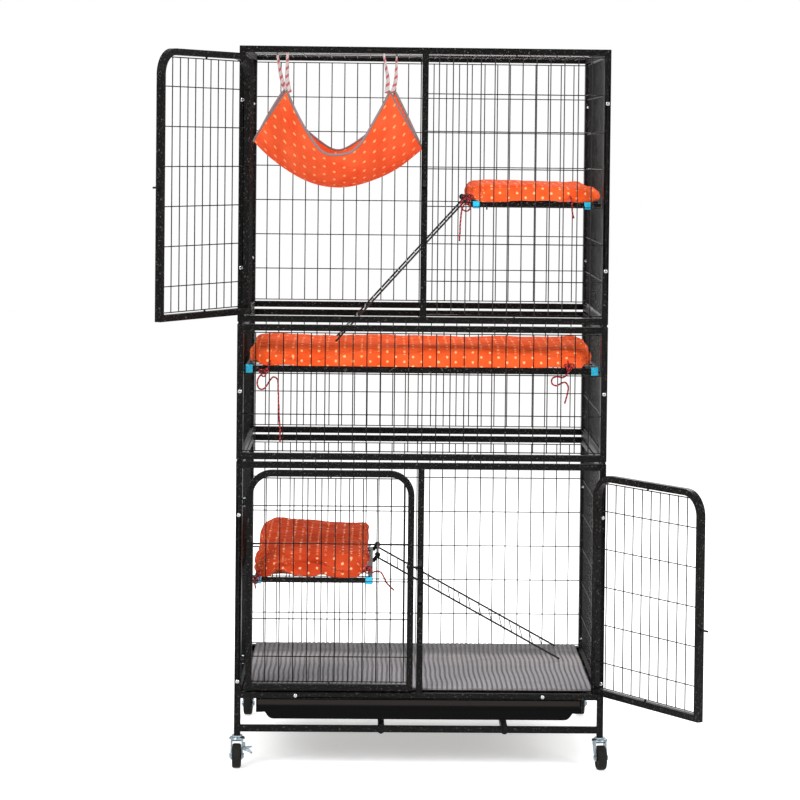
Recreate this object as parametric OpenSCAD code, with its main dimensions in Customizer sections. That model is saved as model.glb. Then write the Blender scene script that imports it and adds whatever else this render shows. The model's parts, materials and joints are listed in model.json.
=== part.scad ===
// Three-storey ferret cage on casters: welded square-tube panels with wire
// grilles, bolted at the corners and stacked, with doors, shelves and ramps.
// Origin: floor level, under the middle of the cage. X right, Y back, Z up.

/* [Cage] */
// Width over the corner posts
cage_w = 762; // [700:1:860]
// Depth over the front and rear frames
cage_d = 560; // [540:1:640]
// Outer size of the square frame tube
tube = 13; // [12:0.5:16]
// Wall of the frame tube
tube_wall = 1.2; // [1:0.1:1.8]
// Height of the top module
upper_h = 566; // [560:1:580]
// Height of the middle module
middle_h = 278; // [270:1:300]
// Height of the bottom module above its base rail
lower_h = 489; // [480:1:500]
// See-through gap between stacked modules
module_gap = 5; // [3:0.5:8]
// Height of the base rail's underside above the floor
base_z = 142; // [138:1:160]
// Height of the stretcher's underside above the leg ends
stretcher_up = 8; // [4:0.5:12]
// Distance of the corner bolts from the ends of the top module
upper_bolt_in = 111; // [60:1:160]
// Height of the corner bolts in the middle module
middle_bolt_up = 140; // [60:1:200]
// Distances of the corner bolts from the foot and the top of the bottom module
lower_bolt_in = [35, 110];
// Sideways place of the two floor support tubes
support_x = 255; // [230:1:280]
// Sideways place of the left and right cross bars between the stretchers
cross_bar_x = [-78, 177];

/* [Grilles] */
// Diameter of the grille wires
wire_d = 2.2; // [1.8:0.1:3]
// Spacing of the upright wires
wire_pitch = 28.6; // [26:0.1:32]
// Spacing of the level wires in the top and bottom modules
level_pitch = 77; // [76:0.5:78]
// Spacing of the level wires in the middle module
middle_pitch = 84; // [80:0.5:86]
// Air between an edge wire and the tube beside it
edge_gap = 3; // [2:0.5:6]

/* [Doors] */
// Air over and under a door
door_gap = 4; // [3:0.5:6]
// Air between a corner post and the door beside it
door_side_gap = 9.4; // [8:0.1:11]
// Air between a door and the centre post
latch_gap = 7.1; // [6:0.1:9]
// Distance from the hinge side tube of a door to its first upright wire
door_wire_in = 26.8; // [20:0.1:28]
// Heights of the hinge knuckles, from the foot and from the top of a door
knuckle_in = [60, 70];
// Distance from a corner post to its door's hinge pin
hinge_in = 4.7; // [4.5:0.1:6]
// Distance of the hinge pins in front of the frame
hinge_out = 2; // [1:0.5:4]
// Outer radius of a door's top corners
door_r = 52; // [40:1:70]
// Opening angles of the upper left, lower left and lower right doors
door_open = [118, 0, 123];
// Diameter of the hinge pins
hinge_pin_d = 4; // [3:0.5:4.5]
// Latch height of each door, from its foot
latch_up = [261, 256, 182];
// Diameter of the latch rods
latch_d = 4; // [3:0.5:5]
// Length of a latch rod past its door
latch_l = 19; // [18:0.5:19.5]
// Travel of a latch gate
gate_travel = 11; // [11:0.5:12]

/* [Shelves] */
// Tube of the upper and lower shelves
shelf_tube = 10; // [8:0.5:12]
// Width of the upper shelf
upper_shelf_w = 270; // [240:1:290]
// Width of the lower shelf
lower_shelf_w = 246; // [200:1:255]
// Front to back depth of the middle shelf
middle_shelf_d = 300; // [260:1:340]
// Air in front of and behind the upper and lower shelves, inside the cage faces
shelf_back = 50; // [44:1:70]
// Air between the front face of the cage and the middle shelf
middle_shelf_back = 40; // [34:1:60]
// Air between the lower shelf and the left panel
lower_shelf_in = 24; // [20:1:40]
// Height of the upper, middle and lower shelf tops over the wire they hook on
shelf_rise = [8, 13, 1.8];
// Diameter of the shelf hooks
hook_d = 3; // [2.5:0.1:4]
// Thickness of the upper, middle and lower cushions
cushion_t = [34, 38, 50];

/* [Ramps] */
// Width of a ramp over its rails
ramp_w = 165; // [120:1:180]
// Diameter of the ramp rails
ramp_rail_d = 4; // [3.5:0.5:6]
// Spacing of the ramp rungs
rung_pitch = 26; // [20:0.5:40]
// Diameter of the rod that a ramp hooks on
ramp_rod_d = 5; // [4:0.5:6]
// Distance of the upper ramp from the rear of the middle shelf that it stands on
upper_ramp_in = 40; // [10:1:120]
// Distance of the lower ramp from the rear of the lower shelf that it hangs on
lower_ramp_in = 8; // [6:1:60]
// Slope of the upper ramp
upper_ramp_slope = 48; // [42:0.1:50]
// Slope of the lower ramp
lower_ramp_slope = 28.8; // [27:0.1:29.8]

/* [Tray] */
// Width of the waste tray
tray_w = 666; // [640:1:670]
// Depth of the tray's pan under the base rail
tray_h = 43; // [38:1:48]
// Easing of the pan's lower corners
pan_r = 8; // [4:0.5:10]
// Wall of the tray
tray_wall = 2.5; // [2:0.1:3]

/* [Casters] */
// Diameter of the caster wheels
wheel_d = 50; // [46:1:52]
// Width of the caster wheels
wheel_w = 17.4; // [15:0.1:19]
// Height of the leg ends above the floor
caster_h = 65; // [63:0.5:68]
// Distance of a wheel axle from its stem
trail = 14; // [10:0.5:16]
// Resting direction of the front left, front right, rear left, rear right caster
caster_turn = [0, 8, -4, 172];
// Diameter of the axles
axle_d = 6; // [5:0.5:8]
// Diameter of the caster stems
stem_d = 8; // [6:0.5:9]

/* [Hammock] */
// Height of the hammock's corners
hammock_top = 1402; // [1380:1:1410]
// Height of the hammock's low middle
hammock_low = 1197; // [1185:1:1210]
// Sideways middle of the hammock
hammock_x = -180; // [-200:1:-170]
// Distance of the hammock's middle behind the front face
hammock_in = 200; // [190:1:240]
// Thickness of the padded cloth
hammock_t = 3; // [2:0.5:5]

/* [Hidden] */

fit = 0.3;             // air beside a fixed neighbour
run_fit = 0.05;        // radial air of a pin or an axle in its bore
weld = 0.3;            // depth to which a wire is sunk into what it is welded to
frame_color = "#26282a";
wire_color = "#3a3233";
zinc_color = "#9aa7ad";
fabric_color = "#ff5a2c";

half_w = cage_w / 2;
front_y = -cage_d / 2;
rear_y = cage_d / 2;
post_x = half_w - tube / 2;
post_y = rear_y - tube / 2;
middle_z = base_z + lower_h + module_gap;
upper_z = middle_z + middle_h + module_gap;
top_z = upper_z + upper_h;
stretcher_z = caster_h + stretcher_up;
side_in = half_w - tube;          // inner face of the side panels
front_in = cage_d / 2 - tube;     // inner face of the front and rear frames
side_len = cage_d - 2 * tube;     // length of the side panels
lower_top = base_z + lower_h;

module box(a, b) translate(a) cube(b - a);

// A closed length of tube between two opposite corners
module tube_box(a, b) difference() {
    box(a, b);
    box(a + tube_wall * [1, 1, 1], b - tube_wall * [1, 1, 1]);
}

// Square frame seen from the front: two posts and the rails between them
module front_frame(y, foot, z0, z1, rails) {
    for (s = [-1, 1])
        tube_box([s * post_x - tube / 2, y, foot], [s * post_x + tube / 2, y + tube, z1]);
    for (z = rails) tube_box([-side_in, y, z], [side_in, y + tube, z + tube]);
}

// Side frame between the front and the rear frame
module side_frame(side, z0, z1) {
    x = side * post_x;
    for (s = [-1, 1])
        tube_box([x - tube / 2, s * (front_in - tube / 2) - tube / 2, z0],
            [x + tube / 2, s * (front_in - tube / 2) + tube / 2, z1]);
    for (z = [z0, z1 - tube])
        tube_box([x - tube / 2, -front_in + tube, z], [x + tube / 2, front_in - tube, z + tube]);
}

// Wire from a point along an axis, with eight flats, so that crossing wires meet ridge to ridge
module wire(p, dir, len, d = wire_d)
    translate(p) rotate(dir == "x" ? [0, 90, 0] : dir == "y" ? [-90, 0, 0] : [0, 0, 0])
        cylinder(d = d, h = len, $fn = 8);

// Level wire heights of a grille, from its top edge wire down to its foot edge wire
function levels(low, high, pitch) =
    concat([for (z = high; z > low + pitch / 3; z = z - pitch) z], [low]);

// Grille in the plane of a front or rear frame, from x0 to x1 between two tubes
module grille_x(y, x0, x1, z0, z1, pitch, first) {
    low = z0 + edge_gap + wire_d / 2;
    high = z1 - edge_gap - wire_d / 2;
    for (z = levels(low, high, pitch)) wire([x0 - weld, y + wire_d - weld, z], "x", x1 - x0 + 2 * weld);
    for (x = [first : wire_pitch : x1 - wire_d]) wire([x, y, low - 1], "z", high - low + 2);
    for (z = [z0 - weld, z1 - edge_gap - weld])
        box([(x0 + x1) / 2 - 1.5, y - 1, z], [(x0 + x1) / 2 + 1.5, y + 2, z + edge_gap + 2 * weld]);
}

// Grille in the plane of a side frame
module grille_y(x, y0, y1, z0, z1, pitch, first) {
    low = z0 + edge_gap + wire_d / 2;
    high = z1 - edge_gap - wire_d / 2;
    for (z = levels(low, high, pitch)) wire([x - wire_d + weld, y0 - weld, z], "y", y1 - y0 + 2 * weld);
    for (y = [first : wire_pitch : y1 - wire_d]) wire([x, y, low - 1], "z", high - low + 2);
}

wide_first = -floor((side_in - 12) / wire_pitch) * wire_pitch;
deep_first = -floor((front_in - tube - 12) / wire_pitch) * wire_pitch;

// Bolt heights in each module, and their holes through both posts of a corner
bolt_z = [upper_z + upper_bolt_in, top_z - upper_bolt_in, middle_z + middle_bolt_up,
    base_z + lower_bolt_in[0], lower_top - lower_bolt_in[1]];
bolt_d = 5;
hole_d = 5.4;
rail_bolt_z = base_z + tube / 2;
module corner_holes() for (z = bolt_z, sx = [-1, 1])
    translate([sx * post_x, front_y - 1, z]) rotate([-90, 0, 0])
        cylinder(d = hole_d, h = cage_d + 2, $fn = 24);
plug_d = 8;
plug_up = 12;                     // reach of a plug into each post
module plug_holes(z0, z1) for (sx = [-1, 1], sy = [-1, 1])
    translate([sx * post_x, sy * post_y, 0]) {
        translate([0, 0, z0 - 1]) cylinder(d = plug_d + 2 * fit, h = plug_up + 2, $fn = 24);
        translate([0, 0, z1 - plug_up - 1]) cylinder(d = plug_d + 2 * fit, h = plug_up + 2, $fn = 24);
    }

// Doors: hinge lines, latch heights and the places of their frames
door_x = side_in - hinge_in;                      // hinge line beside a corner post
hinge_y = front_y - hinge_out;
door_edge = side_in - door_side_gap;              // hinge side of a closed door
door_w = door_edge - tube / 2 - latch_gap;
lower_door_z = base_z + tube + door_gap;
upper_door_z = upper_z + tube + door_gap;
lower_door_h = lower_h - 2 * tube - 2 * door_gap;
upper_door_h = upper_h - 2 * tube - 2 * door_gap;
latch_z = [upper_door_z + latch_up[0], lower_door_z + latch_up[1], lower_door_z + latch_up[2]];
latch_y = front_y + tube / 2;
notch_h = latch_d + 2 * fit;
module notches(list) for (z = list)
    box([-tube, front_y - 9, z - notch_h / 2], [tube, latch_y + latch_d / 2 + fit, z + notch_h / 2]);

module lower_front_frame() color(frame_color) difference() {
    union() {
        front_frame(front_y, caster_h, base_z, lower_top, [base_z, lower_top - tube, stretcher_z]);
        tube_box([-tube / 2, front_y, base_z + tube], [tube / 2, front_y + tube, lower_top - tube]);
    }
    corner_holes();
    plug_holes(-100, lower_top);
    stem_holes();
    rail_holes();
    notches([latch_z[1], latch_z[2]]);
}
module lower_rear_frame() color(frame_color) difference() {
    front_frame(rear_y - tube, caster_h, base_z, lower_top, [base_z, lower_top - tube, stretcher_z]);
    corner_holes();
    plug_holes(-100, lower_top);
    stem_holes();
    rail_holes();
}
module rail_holes() for (sx = [-1, 1]) translate([sx * support_x, front_y - 1, rail_bolt_z])
    rotate([-90, 0, 0]) cylinder(d = hole_d, h = cage_d + 2, $fn = 24);
module lower_rear_grille() color(wire_color)
    grille_x(post_y, -side_in + weld, side_in - weld, base_z + tube + weld, lower_top - tube - weld,
        level_pitch, wide_first);

module side_panel(side, z0, z1, pitch) color(frame_color) {
    difference() {
        side_frame(side, z0, z1);
        corner_holes();
    }
    grille_y(side * post_x, -front_in + tube, front_in - tube, z0 + tube, z1 - tube, pitch, deep_first);
}
module lower_left_panel() side_panel(-1, base_z, lower_top, level_pitch);
module lower_right_panel() side_panel(1, base_z, lower_top, level_pitch);
module middle_left_panel() side_panel(-1, middle_z, middle_z + middle_h, middle_pitch);
module middle_right_panel() side_panel(1, middle_z, middle_z + middle_h, middle_pitch);
module upper_left_panel() side_panel(-1, upper_z, top_z, level_pitch);
module upper_right_panel() side_panel(1, upper_z, top_z, level_pitch);

module wide_panel(y, z0, z1, pitch) color(frame_color) {
    difference() {
        front_frame(y, z0, z0, z1, [z0, z1 - tube]);
        corner_holes();
        plug_holes(z0, z1 < top_z ? z1 : z1 + 100);
    }
    grille_x(y + tube / 2, -side_in, side_in, z0 + tube, z1 - tube, pitch, wide_first);
}
module middle_front_panel() wide_panel(front_y, middle_z, middle_z + middle_h, middle_pitch);
module middle_rear_panel() wide_panel(rear_y - tube, middle_z, middle_z + middle_h, middle_pitch);
module upper_rear_panel() wide_panel(rear_y - tube, upper_z, top_z, level_pitch);
module upper_front_frame() color(frame_color) difference() {
    union() {
        front_frame(front_y, upper_z, upper_z, top_z, [upper_z, top_z - tube]);
        tube_box([-tube / 2, front_y, upper_z + tube], [tube / 2, front_y + tube, top_z - tube]);
    }
    corner_holes();
    plug_holes(upper_z, top_z + 100);
    notches([latch_z[0]]);
}
module upper_front_grille() color(wire_color)
    grille_x(front_y + tube / 2, tube / 2 + weld, side_in - weld, upper_z + tube + weld,
        top_z - tube - weld, level_pitch, wire_pitch);

// Roof wires, lying on two rails' inner sides
roof_z = top_z - 6;
module roof_grille() color(wire_color) {
    for (x = [wide_first : wire_pitch : side_in - wire_d])
        wire([x, -front_in + fit, roof_z], "y", 2 * front_in - 2 * fit);
    for (i = [-3 : 3])
        wire([-side_in + fit, i * (front_in - 8) / 3, roof_z + wire_d - weld], "x", 2 * side_in - 2 * fit);
}

module base_cross_bars() color(frame_color) for (x = cross_bar_x) {
    tube_box([x - tube / 2, -front_in, stretcher_z], [x + tube / 2, front_in, stretcher_z + tube]);
    for (s = [-1, 1]) translate([x, s * (rear_y + 1.5), stretcher_z + tube / 2 - 1])
        rotate([90, 0, 0]) cylinder(d = tube + 2, h = 3, center = true, $fn = 32);
}
module floor_supports() color(frame_color) difference() {
    for (s = [-1, 1])
        tube_box([s * support_x - tube / 2, -front_in, base_z],
            [s * support_x + tube / 2, front_in, base_z + tube]);
    rail_holes();
}
floor_z = base_z + tube;
module floor_grid() color(wire_color) {
    for (x = [wide_first : wire_pitch : side_in - wire_d])
        wire([x, -front_in + 1, floor_z + wire_d / 2], "y", 2 * front_in - 2);
    for (i = [-3 : 3])
        wire([-side_in + 1, i * (front_in - 4) / 3, floor_z + 1.5 * wire_d - weld], "x", 2 * side_in - 2);
}
mat_z = floor_z + 2 * wire_d - weld;
mat_t = 4;
module floor_mat() color("#8c888c")
    box([-side_in + 2, -front_in + 2, mat_z], [side_in - 2, front_in - 2, mat_z + mat_t]);

// Stepped pan; its side steps slide on the runners
pan_top = base_z - 2;
step_z = pan_top - 27;
pan_z = pan_top - tray_h + 2;
step_w = 15;
pan_slope = 10;
tray_front = front_y + 3;
tray_back = front_in - 8;
function unit(v) = v / norm(v);
function eased(a, b, c, r) = [for (t = [0 : 0.25 : 1])
    b + r * (pow(1 - t, 2) * unit(a - b) + t * t * unit(c - b))];
function tray_side(out, step, low, slope, r) = concat([[out, pan_top + 1], [out, step]],
    [[out - step_w, step]], eased([out - step_w, step], [out - step_w - slope, low], [0, low], r));
module tray_outline(out, step, low, slope, r) let (side = tray_side(out, step, low, slope, r))
    polygon(concat(side, [for (i = [len(side) - 1 : -1 : 0]) [-side[i][0], side[i][1]]]));
module along_y(y0, y1) translate([0, y1, 0]) rotate([90, 0, 0]) linear_extrude(y1 - y0) children();
module waste_tray() color("#141414") difference() {
    along_y(tray_front, tray_back) tray_outline(tray_w / 2, step_z, pan_z, pan_slope, pan_r);
    along_y(tray_front + 3 * tray_wall, tray_back - tray_wall) tray_outline(tray_w / 2 - tray_wall,
        step_z + tray_wall, pan_z + tray_wall, pan_slope, pan_r);
    box([-half_w, tray_front - 1, pan_top], [half_w, rear_y, pan_top + 2]);
    box([-half_w, tray_front - 1, pan_z - 1], [half_w, tray_front + 1.5 * tray_wall, step_z + 10]);
}
module runner(s) translate([0, front_in, 0]) rotate([90, 0, 0]) linear_extrude(2 * front_in) {
    web = tray_w / 2 + 2;
    foot = step_z - fit;
    polygon([for (p = [[side_in + 9, base_z], [side_in + 9, base_z - 1.5], [web + 1.5, base_z - 1.5],
        [web + 1.5, foot - 1.5], [web - 12, foot - 1.5], [web - 12, foot], [web, foot], [web, base_z]])
        [s * p[0], p[1]]]);
}
module tray_runners() color(frame_color) for (s = [-1, 1]) runner(s);

// A door as it lies closed, hinged on its left side at x = 0, y = 0, foot at z = 0
door_off = door_x - door_edge;                    // from the hinge line to the door
knuckle_z = [knuckle_in[0], -knuckle_in[1]];
module door_leaf(h) {
    x0 = door_off;
    x1 = door_off + door_w;
    y0 = hinge_out;
    r = door_r;
    tube_box([x0, y0, 0], [x0 + tube, y0 + tube, h - r]);
    tube_box([x1 - tube, y0, 0], [x1, y0 + tube, h - r]);
    tube_box([x0 + tube, y0, 0], [x1 - tube, y0 + tube, tube]);
    tube_box([x0 + r, y0, h - tube], [x1 - r, y0 + tube, h]);
    for (c = [[x0 + r, 90], [x1 - r, 0]]) translate([c[0], y0 + tube / 2, h - r])
        rotate([90, 0, 0]) rotate(c[1]) rotate_extrude(angle = 90, $fn = 64)
            translate([r - tube, -tube / 2]) square(tube);
    in = 12;                           // a short top wire clears the round corners
    low = tube + edge_gap + wire_d / 2;
    high = h - tube - edge_gap - wire_d / 2;
    yw = y0 + tube / 2;
    for (z = levels(low, high - door_r - 5, level_pitch + 1))
        wire([x0 + tube - weld, yw + wire_d - weld, z], "x", door_w - 2 * tube + 2 * weld);
    wire([x0 + tube + in, yw + wire_d - weld, high], "x", door_w - 2 * tube - 2 * in);
    for (x = [door_wire_in : wire_pitch : door_w - 2 * tube - wire_d])
        wire([x0 + tube + x, yw, low - 1], "z", high - low + 2);
    for (z = [tube - weld, h - tube - edge_gap - weld])
        box([x0 + door_w / 2 - 1.5, yw - 1, z], [x0 + door_w / 2 + 1.5, yw + 2, z + edge_gap + 2 * weld]);
    for (k = knuckle_z) translate([0, 0, k > 0 ? k : h + k]) difference() {
        union() {
            cylinder(r = 3.4, h = 8, $fn = 32);
            box([0, -0.5, 0], [x0 + weld, hinge_out + 4, 8]);
        }
        translate([0, 0, -1]) cylinder(d = hinge_pin_d + 2 * run_fit, h = 10, $fn = 32);
    }
}
module place_door(side, z, open) translate([side * door_x, hinge_y, z])
    rotate([0, 0, side * open]) mirror([side > 0 ? 1 : 0, 0, 0]) children();
module door(side, z, h, open, latch) color(frame_color) place_door(side, z, open) difference() {
    door_leaf(h);
    latch_bar(latch, latch_d + 2 * run_fit, 1);
}
module latch_bar(up, d, extra) translate([door_off + door_w - tube - extra, hinge_out + tube / 2, up])
    rotate([0, 90, 0]) cylinder(d = d, h = tube + latch_l + extra, $fn = 24);
module latch_rod(side, z, open, up) color("#1b1b1b") place_door(side, z, open) {
    latch_bar(up, latch_d, 2);
    translate([door_off + door_w - tube - fit, hinge_out + tube / 2, up])
        rotate([0, -90, 0]) cylinder(d = latch_d + 2.5, h = 2, $fn = 24);
}
module upper_left_door() door(-1, upper_door_z, upper_door_h, door_open[0], latch_up[0]);
module lower_left_door() door(-1, lower_door_z, lower_door_h, door_open[1], latch_up[1]);
module lower_right_door() door(1, lower_door_z, lower_door_h, door_open[2], latch_up[2]);

// Hinge lines of the three doors: side, foot, height
hinge_lines = [[-1, upper_door_z, upper_door_h], [-1, lower_door_z, lower_door_h],
    [1, lower_door_z, lower_door_h]];
module at_knuckles() for (l = hinge_lines, k = knuckle_z)
    translate([l[0] * door_x, hinge_y, l[1] + (k > 0 ? k : l[2] + k)])
        mirror([l[0] > 0 ? 1 : 0, 0, 0]) children();
module hinge_brackets() color(frame_color) at_knuckles() for (z = [-3.3, 8.3]) translate([0, 0, z])
    difference() {
        union() {
            cylinder(r = 3.2, h = 3, $fn = 32);
            box([-hinge_in, hinge_out, 0], [3, hinge_out + 7, 3]);
            box([-3, 0, 0], [3, hinge_out + 1, 3]);
        }
        translate([0, 0, -1]) cylinder(d = hinge_pin_d + 2 * run_fit, h = 5, $fn = 32);
    }
module hinge_pins() color(zinc_color) at_knuckles() translate([0, 0, -4.5]) rotate_extrude($fn = 32)
    polygon([[0, 0], [hinge_pin_d / 2, 0], [hinge_pin_d / 2, 16], [3.2, 16], [3.2, 17], [2, 18], [0, 18]]);

// Keeper plates with side guides on the centre posts, and the gates that slide in them
keeper_h = 44;
guide_out = 4;
module latch_keepers() color(frame_color) difference() {
    for (z = latch_z) translate([0, front_y, z - keeper_h / 2 + 6]) {
        box([-tube / 2, -1, 0], [tube / 2, 0, keeper_h]);
        for (s = [-1, 1]) {
            box([s * (tube / 2 - 0.75) - 0.75, -guide_out, 0], [s * (tube / 2 - 0.75) + 0.75, -1, keeper_h]);
            box([s * (tube / 2 - 1.4) - 1.4, -guide_out, 0],
                [s * (tube / 2 - 1.4) + 1.4, -guide_out + 1, keeper_h]);
        }
        box([-tube / 2, -guide_out, 0], [tube / 2, -1, 1.5]);
    }
    notches(latch_z);
}
gate_rest = notch_h / 2 + 1.2;
module latch_gate(i) color("#1b1b1b") translate([0, front_y, latch_z[i] + gate_rest]) {
    box([-tube / 2 + 1.5 + fit, -guide_out + 1 + fit, 0], [tube / 2 - 1.5 - fit, -1 - fit, 14]);
    box([-2.5, -guide_out - 3, 8], [2.5, -guide_out + 1 + fit, 12]);
}

// Plug with a small collar between stacked corner posts
module stacking_connectors() color(frame_color)
    for (z = [lower_top, middle_z + middle_h], sx = [-1, 1], sy = [-1, 1])
        translate([sx * post_x, sy * post_y, z]) {
        box([-4.75, -4.75, 0], [4.75, 4.75, module_gap]);
        translate([0, 0, -plug_up]) cylinder(d = plug_d, h = 2 * plug_up + module_gap, $fn = 24);
    }

// Button-head bolt along +Y from the face under its head, with a hex socket
module bolt(grip) rotate([-90, 0, 0]) difference() {
    rotate_extrude($fn = 32) polygon([[0, -3], [2.6, -2.9], [4.2, -1.8], [4.75, 0], [bolt_d / 2, 0],
        [bolt_d / 2, grip + 4], [0, grip + 4]]);
    translate([0, 0, -4]) cylinder(d = 3.4, h = 2.6, $fn = 6);
}
module dome_nut() rotate([-90, 0, 0]) difference() {
    union() {
        cylinder(d = 9, h = 4, $fn = 6);
        rotate_extrude($fn = 32) polygon([[0, 0], [4, 0], [4, 4.5], [2.9, 6.8], [0, 7.8]]);
    }
    translate([0, 0, -1]) cylinder(d = bolt_d + 2 * run_fit, h = 6, $fn = 24);
}
module frame_bolts() color("#c9cdd0") {
    for (z = bolt_z, sx = [-1, 1], sy = [-1, 1])
        translate([sx * post_x, sy * rear_y, z]) mirror([0, sy > 0 ? 1 : 0, 0]) bolt(2 * tube);
    for (sx = [-1, 1], sy = [-1, 1])
        translate([sx * support_x, sy * rear_y, rail_bolt_z]) mirror([0, sy > 0 ? 1 : 0, 0]) bolt(tube);
}
module dome_nuts() color("#c9cdd0")
    for (z = bolt_z, sx = [-1, 1], sy = [-1, 1])
        translate([sx * post_x, sy * (rear_y - 2 * tube), z]) mirror([0, sy > 0 ? 1 : 0, 0]) dome_nut();

// Shelves: a tube frame with deck wires on top and hooks over the grilles' level wires
upper_level = top_z - tube - edge_gap - wire_d / 2 - 4 * level_pitch;
middle_level = middle_z + middle_h - tube - edge_gap - wire_d / 2 - middle_pitch;
lower_level = lower_top - tube - edge_gap - wire_d / 2 - 3 * level_pitch;
shelf_top = [upper_level + shelf_rise[0], middle_level + shelf_rise[1], lower_level + shelf_rise[2]];
hook_up = wire_d / 2 + fit + hook_d / 2;   // from a level wire to the hook wire round it
hook_leg = 9;
hook_in = 30;                      // from the ends of the upper shelf to its hooks
side_hook_in = 15;                 // from the ends of the lower shelf to its hooks
middle_hook_in = [20, 70];         // from the front and the rear of the middle shelf to its hooks
function gap_at(p) = (floor(p / wire_pitch) + 0.5) * wire_pitch;   // middle between two upright wires
shelf_y0 = front_y + shelf_back;
shelf_y1 = rear_y - shelf_back;
shelf_d = shelf_y1 - shelf_y0;
upper_shelf_x1 = side_in - 1.5;
upper_shelf_x0 = upper_shelf_x1 - upper_shelf_w;
middle_shelf_y0 = front_y + middle_shelf_back;
middle_shelf_y1 = middle_shelf_y0 + middle_shelf_d;
middle_shelf_x = side_in - 2.5;
lower_shelf_x0 = -side_in + lower_shelf_in;
lower_shelf_x1 = lower_shelf_x0 + lower_shelf_w;
module deck(x0, y0, x1, y1, top, t) {
    tube_box([x0, y0, top - t], [x1, y0 + t, top]);
    tube_box([x0, y1 - t, top - t], [x1, y1, top]);
    for (x = [x0, x1 - t]) tube_box([x, y0 + t, top - t], [x + t, y1 - t, top]);
    n = floor((x1 - x0 - t) / wire_pitch);
    for (i = [0 : n]) wire([(x0 + x1) / 2 + (i - n / 2) * wire_pitch, y0 + t / 2, top + wire_d / 2 - weld],
        "y", y1 - y0 - t);
    m = ceil((y1 - y0 - t) / level_pitch);
    for (j = [0 : m]) wire([x0 + t / 2, y0 + t / 2 + j * (y1 - y0 - t) / m, top + 1.5 * wire_d - 2 * weld],
        "x", x1 - x0 - t);
}
// Ears on a shelf's free edge that carry the rod of a ramp
hook_r = ramp_rod_d / 2 + run_fit + ramp_rail_d;   // outer radius of a ramp's hooks
hook_air = 3;                      // from a shelf's edge out to the hooks
rod_out = hook_r + fit + hook_air; // from a shelf's edge out to the rod
rod_up = 7;                        // from a shelf's top up to the rod
ear_t = 3;
ear_gap = 2;
ear_r = 4.5;
ear_foot = 8;
module ramp_ears(x, side, y0, top)
    for (y = [y0 - ear_gap - ear_t / 2, y0 + ramp_w + ear_gap + ear_t / 2])
        translate([x, y, top]) rotate(side < 0 ? 180 : 0) translate([0, ear_t / 2, 0])
            rotate([90, 0, 0]) linear_extrude(ear_t) difference() {
                union() {
                    polygon([[0, -ear_foot], [ear_foot / 2, -ear_foot], [rod_out + ear_r - 1, rod_up - 2],
                        [rod_out - 1, rod_up + ear_r - 1], [0, 0]]);
                    translate([rod_out, rod_up]) circle(r = ear_r, $fn = 32);
                }
                translate([rod_out, rod_up]) circle(d = ramp_rod_d - 0.02, $fn = 32);
            }
module ramp_rod(x, side, y0, top)
    translate([x + side * rod_out, y0 + ramp_w + ear_gap + ear_t, top + rod_up]) rotate([90, 0, 0])
        cylinder(d = ramp_rod_d, h = ramp_w + 2 * ear_gap + 2 * ear_t, $fn = 32);
upper_ramp_y = middle_shelf_y1 - upper_ramp_in - ramp_w;
lower_ramp_y = shelf_y1 - lower_ramp_in - ramp_w;
module upper_shelf() color(frame_color) {
    deck(upper_shelf_x0, shelf_y0, upper_shelf_x1, shelf_y1, shelf_top[0], shelf_tube);
    ramp_ears(upper_shelf_x0, -1, upper_ramp_y, shelf_top[0]);
    ramp_rod(upper_shelf_x0, -1, upper_ramp_y, shelf_top[0]);
    z = upper_level + hook_up;
    for (x = [gap_at(upper_shelf_x0 + hook_in), gap_at(upper_shelf_x1 - hook_in)], s = [-1, 1]) {
        leg = (s < 0 ? front_y + tube / 2 : rear_y - tube / 2) + wire_d - weld + s * hook_up;
        near = s < 0 ? shelf_y0 + 2 : shelf_y1 - 2;
        wire([x, min(leg, near), z], "y", abs(leg - near), hook_d);
        wire([x, leg, z - hook_leg], "z", hook_leg, hook_d);
    }
}
module middle_shelf() color(frame_color) {
    deck(-middle_shelf_x, middle_shelf_y0, middle_shelf_x, middle_shelf_y1, shelf_top[1], tube);
    z = middle_level + hook_up;
    for (y = [gap_at(middle_shelf_y0 + middle_hook_in[0]), gap_at(middle_shelf_y1 - middle_hook_in[1])],
        s = [-1, 1]) {
        leg = s * post_x - wire_d + weld + s * hook_up;
        near = s * (middle_shelf_x - 1);
        wire([min(leg, near), y, z], "x", abs(leg - near), hook_d);
        wire([leg, y, z - hook_leg], "z", hook_leg, hook_d);
    }
}
module lower_shelf() color(frame_color) {
    deck(lower_shelf_x0, shelf_y0, lower_shelf_x1, shelf_y1, shelf_top[2], shelf_tube);
    ramp_ears(lower_shelf_x1, 1, lower_ramp_y, shelf_top[2]);
    ramp_rod(lower_shelf_x1, 1, lower_ramp_y, shelf_top[2]);
    z = lower_level + hook_up;
    for (y = [gap_at(shelf_y0 + side_hook_in), gap_at(shelf_y1 - side_hook_in)]) {
        leg = -post_x - wire_d + weld - hook_up;
        wire([leg, y, z], "x", lower_shelf_x0 + 1 - leg, hook_d);
        wire([leg, y, z - hook_leg], "z", hook_leg, hook_d);
    }
}
clip_w = 14;
module clip(p, t) translate(p) difference() {
    box([-clip_w / 2, -2.5, -t - 2.5], [clip_w / 2, t / 2 - wire_d / 2 - 2 * fit, 2.5]);
    box([-clip_w, -fit, -t - fit], [clip_w, t, fit]);
}
module shelf_clips() color("#16b4dc") {
    for (x = [upper_shelf_x0 + 12, upper_shelf_x1 - 27]) clip([x, shelf_y0, shelf_top[0]], shelf_tube);
    for (x = [lower_shelf_x0 + 8, lower_shelf_x1 - 8]) clip([x, shelf_y0, shelf_top[2]], shelf_tube);
    for (s = [-1, 1]) clip([s * (middle_shelf_x - 8), middle_shelf_y0, shelf_top[1]], tube);
}

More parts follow.
